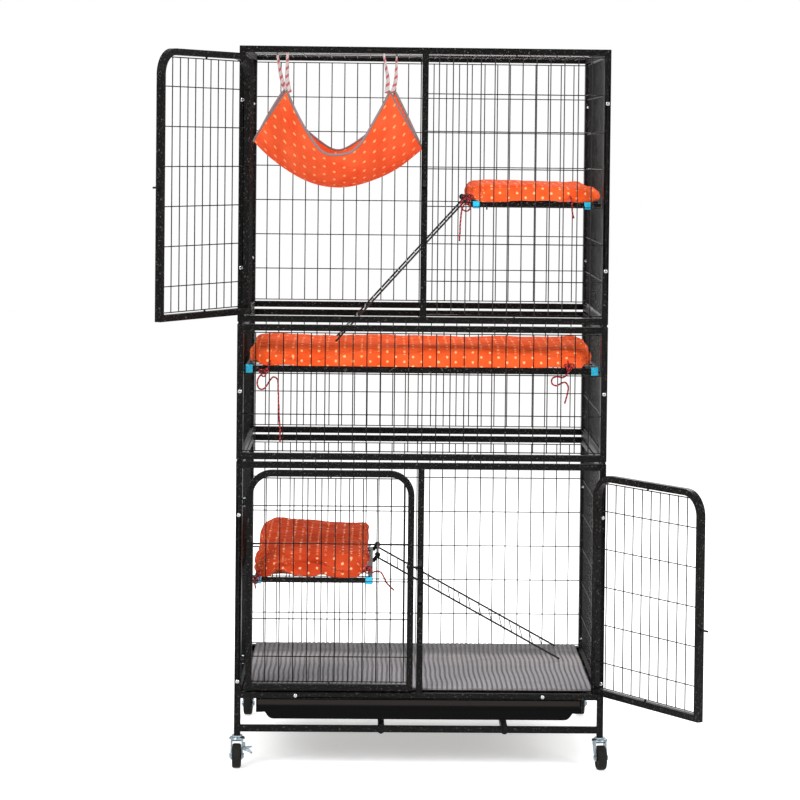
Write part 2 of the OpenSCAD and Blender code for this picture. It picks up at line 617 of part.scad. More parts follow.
// Cushion: rings of a rounded outline with drawn-in sides, swelling to a crown
ring_n = 40;
ring_k = 8;
function corner_wave(a) = pow(abs(sin(2 * a)), 0.7);
function outline(a, w, d, pull) = let (m = pow(pow(abs(cos(a)), 7) + pow(abs(sin(a)), 7), -1 / 7),
    p = 1 - pull * (1 - corner_wave(a))) [w / 2 * cos(a) * m, d / 2 * sin(a) * m] * p;
module cushion(w, d, t, pull, crown) {
    pts = [for (k = [0 : ring_k], i = [0 : ring_n - 1]) let (f = -90 + 180 * k / ring_k, a = 360 * i / ring_n,
        q = outline(a, w, d, pull), s = pow(cos(f) + 0.001, 0.35))
        [q[0] * s, q[1] * s, t * (0.5 + 0.5 * sin(f)) * (0.9 + 0.1 * sin(3 * a + 40))]];
    all = concat([[0, 0, 0]], pts, [[0, 0, t * crown]]);
    last = 1 + ring_k * ring_n;
    polyhedron(all, concat(
        [for (i = [0 : ring_n - 1]) [0, 1 + i, 1 + (i + 1) % ring_n]],
        [for (k = [0 : ring_k - 1], i = [0 : ring_n - 1], h = [0, 1])
            let (a = 1 + k * ring_n, j = (i + 1) % ring_n)
            h == 0 ? [a + i, a + ring_n + i, a + ring_n + j] : [a + i, a + ring_n + j, a + j]],
        [for (i = [0 : ring_n - 1]) [last + i, len(all) - 1, last + (i + 1) % ring_n]]));
}
deck_up = 2 * wire_d - 2 * weld + fit;
module upper_cushion() color(fabric_color)
    translate([(upper_shelf_x0 + upper_shelf_x1) / 2, (shelf_y0 + shelf_y1) / 2, shelf_top[0] + deck_up])
        cushion(upper_shelf_w + 6, shelf_d + 8, cushion_t[0], 0.02, 1.03);
module middle_cushion() color(fabric_color)
    translate([-3, (middle_shelf_y0 + middle_shelf_y1) / 2, shelf_top[1] + deck_up])
        cushion(2 * middle_shelf_x - 9, middle_shelf_d + 8, cushion_t[1], 0.02, 1.02);
module lower_cushion() color(fabric_color)
    translate([(lower_shelf_x0 + lower_shelf_x1) / 2 - 3, (shelf_y0 + shelf_y1) / 2, shelf_top[2] + deck_up])
        cushion(lower_shelf_w + 2, shelf_d + 8, cushion_t[2], 0.03, 1.05);

// Ramp from its hook rod at the origin, running along +X and down
module ramp(slope, len) rotate([0, slope, 0]) {
    eye_r = ramp_rod_d / 2 + run_fit + ramp_rail_d / 2;
    for (y = [ramp_rail_d / 2, ramp_w - ramp_rail_d / 2]) {
        translate([0, y, 0]) rotate([90, 0, 0]) rotate(-90) rotate_extrude(angle = 300, $fn = 48)
            translate([eye_r, 0]) circle(d = ramp_rail_d, $fn = 24);
        translate([0, y, -eye_r]) rotate([0, 90, 0]) cylinder(d = ramp_rail_d, h = len, $fn = 24);
    }
    for (x = [rung_pitch : rung_pitch : len - 5])
        wire([x, ramp_rail_d / 2, -eye_r + ramp_rail_d / 2 - weld / 2], "y", ramp_w - ramp_rail_d);
}
foot_gap = 1.8;                    // from a ramp's foot down to what it stands on
upper_drop = shelf_top[0] + rod_up - (shelf_top[1] + deck_up + cushion_t[1]) - foot_gap;
lower_drop = shelf_top[2] + rod_up - (mat_z + mat_t) - foot_gap;
upper_ramp_l = (upper_drop - hook_r * cos(upper_ramp_slope)) / sin(upper_ramp_slope);
lower_ramp_l = (lower_drop - hook_r * cos(lower_ramp_slope)) / sin(lower_ramp_slope);
module upper_ramp() color("#2c2a2a")
    translate([upper_shelf_x0 - rod_out, upper_ramp_y, shelf_top[0] + rod_up]) mirror([1, 0, 0])
        ramp(upper_ramp_slope, upper_ramp_l);
module lower_ramp() color("#2c2a2a")
    translate([lower_shelf_x1 + rod_out, lower_ramp_y, shelf_top[2] + rod_up])
        ramp(lower_ramp_slope, lower_ramp_l);

// Hammock: a sheet through nine places, corners up, hems and middle sagging
hem_x = [107, 178];               // half widths at the corners and at the side hems' middles
hem_y = 100;
hem_drop = 140;
side_drop = 116;
function blend3(u, a, b, c) = a * u * (u - 1) / 2 + b * (1 - u * u) + c * u * (u + 1) / 2;
function sheet_point(u, v) = let (
    edge = blend3(v, hem_x[0], hem_x[1], hem_x[0]),
    side_z = blend3(v, hammock_top, hammock_top - side_drop, hammock_top),
    mid_z = blend3(v, hammock_top - hem_drop, hammock_low, hammock_top - hem_drop))
    [hammock_x + u * edge, front_y + hammock_in + v * hem_y, blend3(u, side_z, mid_z, side_z)];
sheet_n = 13;
module hammock() color(fabric_color) {
    pts = [for (t = [0, -hammock_t], i = [0 : sheet_n], j = [0 : sheet_n])
        sheet_point(2 * i / sheet_n - 1, 2 * j / sheet_n - 1) + [0, 0, t]];
    n = sheet_n + 1;
    m = n * n;
    rim = concat([for (j = [0 : sheet_n - 1]) j], [for (i = [0 : sheet_n - 1]) i * n + sheet_n],
        [for (j = [sheet_n : -1 : 1]) sheet_n * n + j], [for (i = [sheet_n : -1 : 1]) i * n]);
    polyhedron(pts, concat(
        [for (i = [0 : sheet_n - 1], j = [0 : sheet_n - 1], h = [0, 1]) let (a = i * n + j)
            h == 0 ? [a, a + 1, a + n + 1] : [a, a + n + 1, a + n]],
        [for (i = [0 : sheet_n - 1], j = [0 : sheet_n - 1], h = [0, 1]) let (a = m + i * n + j)
            h == 0 ? [a, a + n + 1, a + 1] : [a, a + n, a + n + 1]],
        [for (k = [0 : len(rim) - 1], h = [0, 1]) let (a = rim[k], b = rim[(k + 1) % len(rim)])
            h == 0 ? [a, m + a, m + b] : [a, m + b, b]]));
}
strap_w = 9;
strap_t = 1.6;
ring_wire = 2;
strap_ring_r = wire_d / 2 + fit + ring_wire;
strap_step = [[-10, -11], [-3, -2]];   // roof wires of the left and right straps, front then rear
module hammock_straps() color("#e8503c") for (i = [0, 1], j = [0, 1]) {
    p = sheet_point(2 * i - 1, 2 * j - 1);
    top = [strap_step[i][j] * wire_pitch, p[1], roof_z - strap_ring_r];
    d = top - p;
    translate(p) rotate([0, atan2(d[0], d[2]), 0])
        box([-strap_w / 2, -strap_t / 2, -4], [strap_w / 2, strap_t / 2, norm(d) + 0.5]);
    translate([top[0], p[1], roof_z]) rotate([90, 0, 0]) rotate_extrude($fn = 32)
        translate([strap_ring_r - ring_wire / 2, 0]) circle(d = ring_wire, $fn = 16);
}

// Casters
stem_h = 24;
plate_t = 2.5;
module stem_holes() for (sx = [-1, 1], sy = [-1, 1]) translate([sx * post_x, sy * post_y, caster_h - 1])
    cylinder(d = stem_d + 2 * fit, h = 12, $fn = 24);
module caster_stems() color(zinc_color) for (sx = [-1, 1], sy = [-1, 1])
    translate([sx * post_x, sy * post_y, caster_h]) rotate_extrude($fn = 48)
        polygon([[0, -plate_t - 8], [4, -plate_t - 8], [4, -plate_t], [11, -plate_t], [11, 0],
            [stem_d / 2, 0], [stem_d / 2, stem_h - 2], [stem_d / 2 - 1, stem_h], [0, stem_h]]);
corner_at = [[-1, -1], [1, -1], [-1, 1], [1, 1]];
module at_caster(i) translate([corner_at[i][0] * post_x, corner_at[i][1] * post_y, 0])
    rotate(caster_turn[i]) children();
cheek = wheel_w / 2 + 1.2;
axle_z = wheel_d / 2;
crown_z = caster_h - plate_t - fit;
module fork() {
    rotate_extrude($fn = 48) polygon([[4.1, crown_z - 5], [16, crown_z - 5], [16.5, crown_z - 3],
        [15, crown_z - 1], [12, crown_z], [4.1, crown_z]]);
    for (s = [-1, 1]) difference() {
        translate([s * (cheek + 1.25) - 1.25, 0, 0]) rotate([90, 0, 90]) linear_extrude(2.5) union() {
            polygon([[-13, crown_z - 4.5], [13, crown_z - 4.5], [11, crown_z - 12], [-trail + 8, axle_z - 3],
                [-trail - 8, axle_z - 2], [-14, crown_z - 14]]);
            translate([-trail, axle_z]) circle(r = 8, $fn = 48);
        }
        translate([-20, -trail, axle_z]) rotate([0, 90, 0]) cylinder(d = axle_d + 0.02, h = 40, $fn = 32);
    }
    box([-cheek, 7.5, crown_z - 12], [cheek, 10, crown_z - 5]);
    translate([-cheek - 5, -trail, axle_z]) rotate([0, 90, 0]) {
        cylinder(d = axle_d, h = 2 * cheek + 10, $fn = 32);
        cylinder(d = 10, h = 2.5 - 0.02, $fn = 6);
        translate([0, 0, 2 * cheek + 7.52]) cylinder(d = 10, h = 2.5 - 0.02, $fn = 32);
    }
}
module wheel() translate([0, -trail, axle_z]) rotate([0, 90, 0]) rotate_extrude($fn = 96)
    polygon([for (p = [[axle_d / 2 + run_fit, -cheek + fit], [6, -cheek + fit], [6, -wheel_w / 2 + 2],
        [wheel_d / 2 - 7, -wheel_w / 2 + 2], [wheel_d / 2 - 6, -wheel_w / 2], [wheel_d / 2 - 2, -wheel_w / 2],
        [wheel_d / 2, -wheel_w / 2 + 2.5]]) p, for (p = [[wheel_d / 2, wheel_w / 2 - 2.5],
        [wheel_d / 2 - 2, wheel_w / 2], [wheel_d / 2 - 6, wheel_w / 2], [wheel_d / 2 - 7, wheel_w / 2 - 2],
        [6, wheel_w / 2 - 2], [6, cheek - fit], [axle_d / 2 + run_fit, cheek - fit]]) p]);
module front_left_fork() color(zinc_color) at_caster(0) {
    fork();
    brake_pin();
}
module front_right_fork() color(zinc_color) at_caster(1) fork();
module rear_left_fork() color(zinc_color) at_caster(2) fork();
module rear_right_fork() color(zinc_color) at_caster(3) fork();
module front_left_wheel() color("#1a1a1a") at_caster(0) wheel();
module front_right_wheel() color("#1a1a1a") at_caster(1) wheel();
module rear_left_wheel() color("#1a1a1a") at_caster(2) wheel();
module rear_right_wheel() color("#1a1a1a") at_caster(3) wheel();

// Brake pedal: rocks on a pin beside the right cheek, with an upper and a lower prong
pedal_x = cheek + 2.5 + 5;
pedal_z = 38;
module brake_pin() translate([0, -2, 0]) {
    box([cheek + 2.4, -2, pedal_z - 3], [pedal_x, 1.7, pedal_z + 12]);
    translate([pedal_x, 1.7, pedal_z]) rotate([90, 0, 0]) cylinder(d = 6, h = 3.7, $fn = 32);
    translate([pedal_x, -2, pedal_z]) rotate([90, 0, 0]) cylinder(d = 3, h = 9, $fn = 32);
}
module brake_pedal() color(zinc_color) at_caster(0) translate([pedal_x, -4.3, pedal_z]) rotate([90, 0, 0])
    linear_extrude(6) difference() {
        union() {
            circle(r = 4, $fn = 32);
            polygon([[0, 3.8], [13, 5.5], [14, 3.5], [6, 0.5], [15, -8.5], [13.5, -10], [0, -3.8]]);
        }
        circle(d = 3 + 2 * run_fit, $fn = 32);
    }

// Tie cords: eight-sided tubes swept along hand-chosen points
tie_d = 3.4;
upper_tie_paths = [
    [[120, -202, 1187], [105, -216, 1184], [95, -227, 1180], [87, -236, 1176], [80, -244, 1172],
        [76, -252, 1164], [79, -256, 1154], [88, -258, 1150], [95, -256, 1156], [93, -252, 1165],
        [84, -248, 1164], [79, -247, 1155], [77, -248, 1144], [76, -250, 1132], [75, -251, 1120],
        [75, -252, 1108], [74, -252, 1096], [74, -252, 1088]],
    [[298, -212, 1184], [302, -224, 1183], [304, -235, 1179], [306, -243, 1171], [306, -247, 1160],
        [307, -248, 1148], [310, -248, 1137]]];
middle_tie_paths = [
    [[-312, -216, 847], [-313, -228, 844], [-315, -239, 836],
        [-317, -249, 826], [-323, -254, 817], [-331, -256, 810], [-338, -256, 801], [-340, -256, 790],
        [-336, -256, 780], [-327, -256, 779], [-320, -256, 787], [-314, -256, 797], [-307, -256, 804],
        [-299, -256, 800], [-297, -256, 789], [-297, -256, 777], [-296, -256, 765], [-296, -256, 753],
        [-295, -256, 741], [-295, -256, 729], [-294, -256, 717], [-293, -256, 705], [-292, -256, 693],
        [-292, -256, 681], [-292, -256, 669]],
    [[300, -216, 847], [301, -228, 844], [303, -239, 836], [304, -248, 825],
        [299, -254, 814], [290, -256, 808], [279, -256, 810], [269, -256, 806], [268, -256, 796],
        [277, -256, 791], [287, -256, 796], [296, -256, 798], [302, -256, 789],
        [301, -256, 777], [298, -256, 765], [295, -256, 754]]];
lower_tie_paths = [
    [[-122, -202, 409], [-111, -215, 403], [-100, -229, 397], [-92, -236, 400],
        [-82, -238, 399], [-75, -238, 389], [-70, -238, 378], [-62, -238, 369], [-53, -238, 361]],
    [[-316, -204, 409], [-326, -218, 404], [-334, -231, 397], [-339, -240, 387],
        [-342, -241, 375], [-340, -241, 363]]];
function tie_dir(p, i) = unit(p[min(i + 1, len(p) - 1)] - p[max(i - 1, 0)]);
module ties(paths) color("#e0202a") for (p = paths) {
    pts = [for (i = [0 : len(p) - 1])
        let (t = tie_dir(p, i), a = unit(cross([0.1, 1, 0.05], t)), b = cross(t, a))
        for (k = [0 : 7]) p[i] + tie_d / 2 * (a * cos(45 * k) + b * sin(45 * k))];
    last = 8 * (len(p) - 1);
    polyhedron(pts, concat([[for (k = [0 : 7]) k]], [[for (k = [7 : -1 : 0]) last + k]],
        [for (i = [0 : len(p) - 2], k = [0 : 7], h = [0, 1]) let (a = 8 * i, j = (k + 1) % 8)
            h == 0 ? [a + k, a + 8 + k, a + 8 + j] : [a + k, a + 8 + j, a + j]]));
}
module upper_tie() ties(upper_tie_paths);
module middle_tie() ties(middle_tie_paths);
module lower_tie() ties(lower_tie_paths);

module upper_left_latch_rod() latch_rod(-1, upper_door_z, door_open[0], latch_up[0]);
module lower_left_latch_rod() latch_rod(-1, lower_door_z, door_open[1], latch_up[1]);
module lower_right_latch_rod() latch_rod(1, lower_door_z, door_open[2], latch_up[2]);
module upper_left_latch_gate() latch_gate(0);
module lower_left_latch_gate() latch_gate(1);
module lower_right_latch_gate() latch_gate(2);

lower_front_frame();
lower_rear_frame();
lower_rear_grille();
lower_left_panel();
lower_right_panel();
base_cross_bars();
tray_runners();
floor_supports();
floor_grid();
floor_mat();
waste_tray();
middle_front_panel();
middle_rear_panel();
middle_left_panel();
middle_right_panel();
upper_front_frame();
upper_front_grille();
upper_rear_panel();
upper_left_panel();
upper_right_panel();
roof_grille();
upper_left_door();
lower_left_door();
lower_right_door();
upper_left_latch_rod();
lower_left_latch_rod();
lower_right_latch_rod();
hinge_brackets();
hinge_pins();
latch_keepers();
upper_left_latch_gate();
lower_left_latch_gate();
lower_right_latch_gate();
stacking_connectors();
frame_bolts();
dome_nuts();
upper_shelf();
middle_shelf();
lower_shelf();
upper_cushion();
middle_cushion();
lower_cushion();
shelf_clips();
upper_ramp();
lower_ramp();
hammock();
hammock_straps();
caster_stems();
front_left_fork();
front_right_fork();
rear_left_fork();
rear_right_fork();
front_left_wheel();
front_right_wheel();
rear_left_wheel();
rear_right_wheel();
brake_pedal();
upper_tie();
middle_tie();
lower_tie();
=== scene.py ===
"""Ferret cage on casters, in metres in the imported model's frame: X right, Y back, Z up."""
import json
import math

import bpy
import numpy as np
from mathutils import Matrix, Vector, noise


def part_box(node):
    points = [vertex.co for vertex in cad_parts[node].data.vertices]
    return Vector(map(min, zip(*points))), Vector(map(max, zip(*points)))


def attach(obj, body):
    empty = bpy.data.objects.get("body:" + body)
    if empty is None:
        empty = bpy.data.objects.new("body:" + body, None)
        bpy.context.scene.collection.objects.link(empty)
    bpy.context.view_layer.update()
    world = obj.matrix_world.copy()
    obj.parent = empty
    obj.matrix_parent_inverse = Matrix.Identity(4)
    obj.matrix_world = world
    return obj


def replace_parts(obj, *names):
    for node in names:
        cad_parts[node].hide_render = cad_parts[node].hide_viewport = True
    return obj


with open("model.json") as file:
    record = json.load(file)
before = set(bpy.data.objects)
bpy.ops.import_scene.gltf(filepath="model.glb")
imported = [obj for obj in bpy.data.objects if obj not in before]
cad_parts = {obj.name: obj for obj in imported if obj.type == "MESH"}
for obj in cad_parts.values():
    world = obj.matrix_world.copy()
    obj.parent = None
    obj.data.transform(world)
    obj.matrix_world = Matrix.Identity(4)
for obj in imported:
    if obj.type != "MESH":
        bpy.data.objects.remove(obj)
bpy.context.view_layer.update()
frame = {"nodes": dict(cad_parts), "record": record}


def place_camera():
    """Long lens from far in front, a little above the middle, as the photograph was taken: radians, pixels
    and metres."""
    yaw, pitch, roll = 0.0220653, 0.0312136, 0.0107215
    picture, focal, centre_x, centre_y = 800, 2811.44, 437.64, 236.32
    sensor = 36
    ahead = Vector((math.sin(yaw) * math.cos(pitch), math.cos(yaw) * math.cos(pitch), -math.sin(pitch)))
    right = Vector((math.cos(yaw), -math.sin(yaw), 0))
    up = right.cross(ahead)
    right, up = right * math.cos(roll) + up * math.sin(roll), up * math.cos(roll) - right * math.sin(roll)
    data = bpy.data.cameras.new("camera")
    data.sensor_width = sensor
    data.lens = sensor * focal / picture
    data.shift_x = (picture / 2 - centre_x) / picture
    data.shift_y = (centre_y - picture / 2) / picture
    data.clip_end = 60
    camera = bpy.data.objects.new("camera", data)
    place = Matrix((right, up, -ahead)).transposed().to_4x4()
    place.translation = (-0.09907, -6.04665, 1.27837)
    camera.matrix_world = place
    bpy.context.scene.collection.objects.link(camera)
    bpy.context.scene.camera = camera


place_camera()


# Meshes

def mesh_piece(name, points, faces, smooth=True):
    """A new piece in the scene, from points in metres."""
    mesh = bpy.data.meshes.new(name)
    mesh.from_pydata([tuple(p) for p in points], [], faces)
    mesh.update()
    mesh.polygons.foreach_set("use_smooth", [smooth] * len(mesh.polygons))
    piece = bpy.data.objects.new(name, mesh)
    bpy.context.scene.collection.objects.link(piece)
    return piece


def eased(points, step):
    """Points every step along a smooth line through the given ones."""
    p = [np.array(q, float) for q in points]
    p = [2 * p[0] - p[1]] + p + [2 * p[-1] - p[-2]]
    line = []
    for a, b, c, d in zip(p, p[1:], p[2:], p[3:]):
        n = max(2, math.ceil(np.linalg.norm(c - b) / step))
        for t in np.arange(n) / n:
            line.append(0.5 * (2 * b + (c - a) * t + (2 * a - 5 * b + 4 * c - d) * t * t
                               + (3 * b - a - 3 * c + d) * t ** 3))
    return np.array(line + [p[-2]])


def along(line):
    """Length run at each point of a line."""
    return np.concatenate([[0], np.cumsum(np.linalg.norm(np.diff(line, axis=0), axis=1))])


def sweep(name, line, ring, closed=False):
    """Closed section of (across, up) points, or one section for each point, carried along a line."""
    line = np.array(line, float)
    n = len(line)
    if closed:
        ahead = np.roll(line, -1, 0) - np.roll(line, 1, 0)
    else:
        ahead = np.gradient(line, axis=0)
    ahead /= np.linalg.norm(ahead, axis=1)[:, None]
    side = np.cross(ahead[0], (0.1, 0.05, 1) if abs(ahead[0][2]) < 0.9 else (0.1, 1, 0.05))
    points = []
    for i in range(n):
        side = side - ahead[i] * side.dot(ahead[i])
        side /= np.linalg.norm(side)
        up = np.cross(side, ahead[i])
        for a, b in (ring[i] if np.ndim(ring) == 3 else ring):
            points.append(line[i] + side * a + up * b)
    k = np.shape(ring)[-2]
    runs = n if closed else n - 1
    faces = [(i * k + j, i * k + (j + 1) % k, (i + 1) % n * k + (j + 1) % k, (i + 1) % n * k + j)
             for i in range(runs) for j in range(k)]
    if not closed:
        faces += [tuple(range(k))[::-1], tuple((n - 1) * k + j for j in range(k))]
    piece = mesh_piece(name, points, faces)
    run = np.repeat(along(line), k)
    turn = np.tile(np.arange(k) / k, n)
    mark(piece, "run", np.stack([run, turn, 0 * run], 1))
    return piece


def mark(piece, name, values):
    """Keeps a vector at each vertex, for the materials."""
    field = piece.data.attributes.new(name, "FLOAT_VECTOR", "POINT")
    field.data.foreach_set("vector", np.asarray(values, np.float32).ravel())


def circle(r, n, squeeze=1.0):
    """Section of n points at radius r, its second way squeezed."""
    turns = [2 * math.pi * i / n for i in range(n)]
    return [(r * math.cos(a), squeeze * r * math.sin(a)) for a in turns]


def dress(piece, materials, stands_for=()):
    """Gives a piece its materials and slot on the cage's body, and the nodes that it stands for."""
    for finish in materials:
        piece.data.materials.append(finish)
    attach(piece, "cage")
    if stands_for:
        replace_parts(piece, *stands_for)
    return piece


# Materials

def linear(code):
    """Linear colour of an sRGB hex value."""
    parts = [int(code[i:i + 2], 16) / 255 for i in (1, 3, 5)]
    return tuple(c / 12.92 if c <= 0.04045 else ((c + 0.055) / 1.055) ** 2.4 for c in parts) + (1,)


def add(tree, kind, settings=(), links=()):
    """Adds a node with its settings, by property or socket, and its links from other sockets."""
    node = tree.nodes.new("ShaderNode" + kind)
    for key, value in dict(settings).items():
        if isinstance(key, str) and hasattr(node, key):
            setattr(node, key, value)
        else:
            node.inputs[key].default_value = value
    for key, source in dict(links).items():
        tree.links.new(source, node.inputs[key])
    return node


def material(name, settings):
    """A new material and its shader, with the settings that are the same all over."""
    made = bpy.data.materials.new(name)
    made.use_nodes = True
    tree = made.node_tree
    shader = tree.nodes["Principled BSDF"]
    for key, value in settings.items():
        shader.inputs[key].default_value = value
    return made, tree, shader


def ramp(tree, source, stops):
    """Colours or greys by value: (place, colour) pairs."""
    node = add(tree, "ValToRGB", links={0: source})
    band = node.color_ramp
    while len(band.elements) < len(stops):
        band.elements.new(0.5)
    for element, (place, colour) in zip(band.elements, stops):
        element.position = place
        element.color = linear(colour) if isinstance(colour, str) else (colour, colour, colour, 1)
    return node.outputs[0]


def drive(tree, shader, socket, source, stops):
    """Drives a socket of the shader by value: (place, colour or grey) pairs."""
    tree.links.new(ramp(tree, source, stops), shader.inputs[socket])


def raise_by(tree, shader, height, distance, strength):
    """Relief in the surface, of distance metres at full height."""
    bump = add(tree, "Bump", {"Strength": strength, "Distance": distance}, {"Height": height})
    tree.links.new(bump.outputs[0], shader.inputs["Normal"])


def body_coordinates(tree):
    """The model's own metres."""
    return add(tree, "TexCoord").outputs["Object"]


def grains(tree, size, detail=2.0, **settings):
    """Noise with lumps of about size metres."""
    return add(tree, "TexNoise", {"Scale": 1 / size, "Detail": detail, **settings},
               {"Vector": body_coordinates(tree)}).outputs[0]


def hammertone():
    """Black hammertone powder coat, sprayed and baked: pooled black cells with paler, shinier crests
    about 3 mm apart."""
    made, tree, shader = material("hammertone_powder_coat", {"IOR": 1.5, "Specular IOR Level": 0.1})
    cells = add(tree, "TexVoronoi", {"Scale": 1 / 0.0032, "feature": "SMOOTH_F1", "Smoothness": 0.4},
                {"Vector": body_coordinates(tree)}).outputs["Distance"]
    flecks = grains(tree, 0.0035, 3.0, Roughness=0.6)
    both = add(tree, "Math", {"operation": "MULTIPLY"}, {0: cells, 1: flecks}).outputs[0]
    drive(tree, shader, "Base Color", both,
          [(0.0, "#020202"), (0.25, "#060606"), (0.38, "#141211"), (0.5, "#4e4a46")])
    drive(tree, shader, "Roughness", flecks, [(0.3, 0.30), (0.75, 0.5)])
    raise_by(tree, shader, cells, 0.0004, 0.6)
    return made


def coated_wire():
    """Steel wire, drawn, welded and dip coated: smooth brown black with a soft shine."""
    made, tree, shader = material("coated_wire", {"IOR": 1.5, "Specular IOR Level": 0.25})
    drift = grains(tree, 0.012)
    drive(tree, shader, "Base Color", drift, [(0.3, "#130e0e"), (0.7, "#231b1b")])
    drive(tree, shader, "Roughness", drift, [(0.3, 0.34), (0.7, 0.48)])
    raise_by(tree, shader, drift, 0.0001, 0.4)
    return made


def black_steel():
    """Black coated bright steel, as the latch rods and gates."""
    made, tree, shader = material("black_coated_steel", {"IOR": 1.5, "Specular IOR Level": 0.25})
    grain = grains(tree, 0.0015)
    drive(tree, shader, "Base Color", grain, [(0.3, "#0f0f10"), (0.7, "#1c1c1e")])
    drive(tree, shader, "Roughness", grain, [(0.2, 0.28), (0.8, 0.42)])
    return made


def zinc_plate():
    """Pressed steel, bright zinc plated: blue-grey, with a faint 4 mm spangle and fine drawing marks."""
    made, tree, shader = material("bright_zinc_plate", {"Metallic": 1.0})
    spangle = add(tree, "TexVoronoi", {"Scale": 1 / 0.004, "Randomness": 1.0},
                  {"Vector": body_coordinates(tree)}).outputs["Color"]
    grey = add(tree, "RGBToBW", links={0: spangle}).outputs[0]
    drive(tree, shader, "Base Color", grey, [(0.2, "#7d8a92"), (0.8, "#a9b7bf")])
    marks = grains(tree, 0.0012)
    drive(tree, shader, "Roughness", marks, [(0.25, 0.24), (0.75, 0.4)])
    raise_by(tree, shader, marks, 0.0001, 0.3)
    return made


def chrome_plate():
    """Polished chrome plate, with faint wiping marks."""
    made, tree, shader = material("polished_chrome_plate", {"Metallic": 1.0})
    marks = grains(tree, 0.002)
    drive(tree, shader, "Base Color", marks, [(0.3, "#9a9ea1"), (0.7, "#b8bbbd")])
    drive(tree, shader, "Roughness", marks, [(0.3, 0.08), (0.8, 0.18)])
    return made


def tray_plastic():
    """Vacuum-formed ABS sheet: black, satin, with a fine moulded grain of about 1 mm, and a painted sheen in
    brown grey along the flange, from 127 mm up."""
    made, tree, shader = material("formed_abs_sheet", {"IOR": 1.53, "Specular IOR Level": 0.05})
    grain = grains(tree, 0.001)
    height = add(tree, "SeparateXYZ", links={0: body_coordinates(tree)}).outputs[2]
    # painted sheen: from 127 mm up the flange is coloured brown grey for the sheen that its face catches
    painted_rim_sheen = add(tree, "MapRange", {1: 0.127, 2: 0.131}, {0: height}).outputs[0]
    tone = add(tree, "Mix", {"data_type": "RGBA"}, {0: painted_rim_sheen})
    tree.links.new(ramp(tree, grain, [(0.3, "#010101"), (0.7, "#050505")]), tone.inputs[6])
    tree.links.new(ramp(tree, grain, [(0.3, "#1d1918"), (0.7, "#2b2725")]), tone.inputs[7])
    tree.links.new(tone.outputs[2], shader.inputs["Base Color"])
    drive(tree, shader, "Roughness", grain, [(0.3, 0.25), (0.7, 0.35)])
    raise_by(tree, shader, grain, 0.0001, 0.2)
    return made


def mat_vinyl():
    """Embossed soft vinyl: grey lilac, with painted shade in the grooves, a painted reflection in a pale tan
    band behind the middle, and darker towards the back."""
    made, tree, shader = material("embossed_soft_vinyl", {"IOR": 1.5})
    rib = add(tree, "Attribute", {"attribute_name": "rib"}).outputs["Vector"]
    parts = add(tree, "SeparateXYZ", links={0: rib}).outputs
    # painted shade: the grooves between the ribs are coloured darker, by rib height
    painted_groove_shade = ramp(tree, parts[0], [(0.15, "#45413f"), (0.75, "#89858a")])
    dust = grains(tree, 0.03, 4.0)
    shade = ramp(tree, dust, [(0.3, "#d2cfd4"), (0.7, "#ffffff")])
    tone = add(tree, "Mix", {"data_type": "RGBA", "blend_type": "MULTIPLY", 0: 1.0}, {6: painted_groove_shade, 7: shade})
    # painted reflection: a pale tan band screened in behind the middle; then the mat is made darker towards
    # the back
    for part, kind, shift in ((2, "SCREEN", "#4a3d38"), (1, "MULTIPLY", "#968c88")):
        before = tone.outputs[2]
        tone = add(tree, "Mix", {"data_type": "RGBA", "blend_type": kind}, {0: parts[part], 6: before})
        tone.inputs[7].default_value = linear(shift)
    tree.links.new(tone.outputs[2], shader.inputs["Base Color"])
    drive(tree, shader, "Roughness", dust, [(0.3, 0.55), (0.7, 0.75)])
    raise_by(tree, shader, grains(tree, 0.0015), 0.0002, 0.4)
    return made


def clip_plastic():
    """Injection-moulded polypropylene: cyan, fairly glossy, with slight flow marks."""
    made, tree, shader = material("moulded_polypropylene", {"IOR": 1.49})
    flow = grains(tree, 0.006, Distortion=1.0)
    drive(tree, shader, "Base Color", flow, [(0.3, "#0fa4ca"), (0.7, "#22bfe2")])
    drive(tree, shader, "Roughness", flow, [(0.3, 0.2), (0.7, 0.34)])
    return made


def tyre_rubber():
    """Moulded rubber: near black, matt, with dusty scuffs of about 3 mm."""
    made, tree, shader = material("moulded_rubber", {"IOR": 1.52, "Specular IOR Level": 0.12})
    scuffs = grains(tree, 0.003, 5.0, Roughness=0.7)
    drive(tree, shader, "Base Color", scuffs, [(0.35, "#0d0d0d"), (0.75, "#282725")])
    drive(tree, shader, "Roughness", scuffs, [(0.3, 0.6), (0.7, 0.85)])
    raise_by(tree, shader, scuffs, 0.0003, 0.5)
    return made


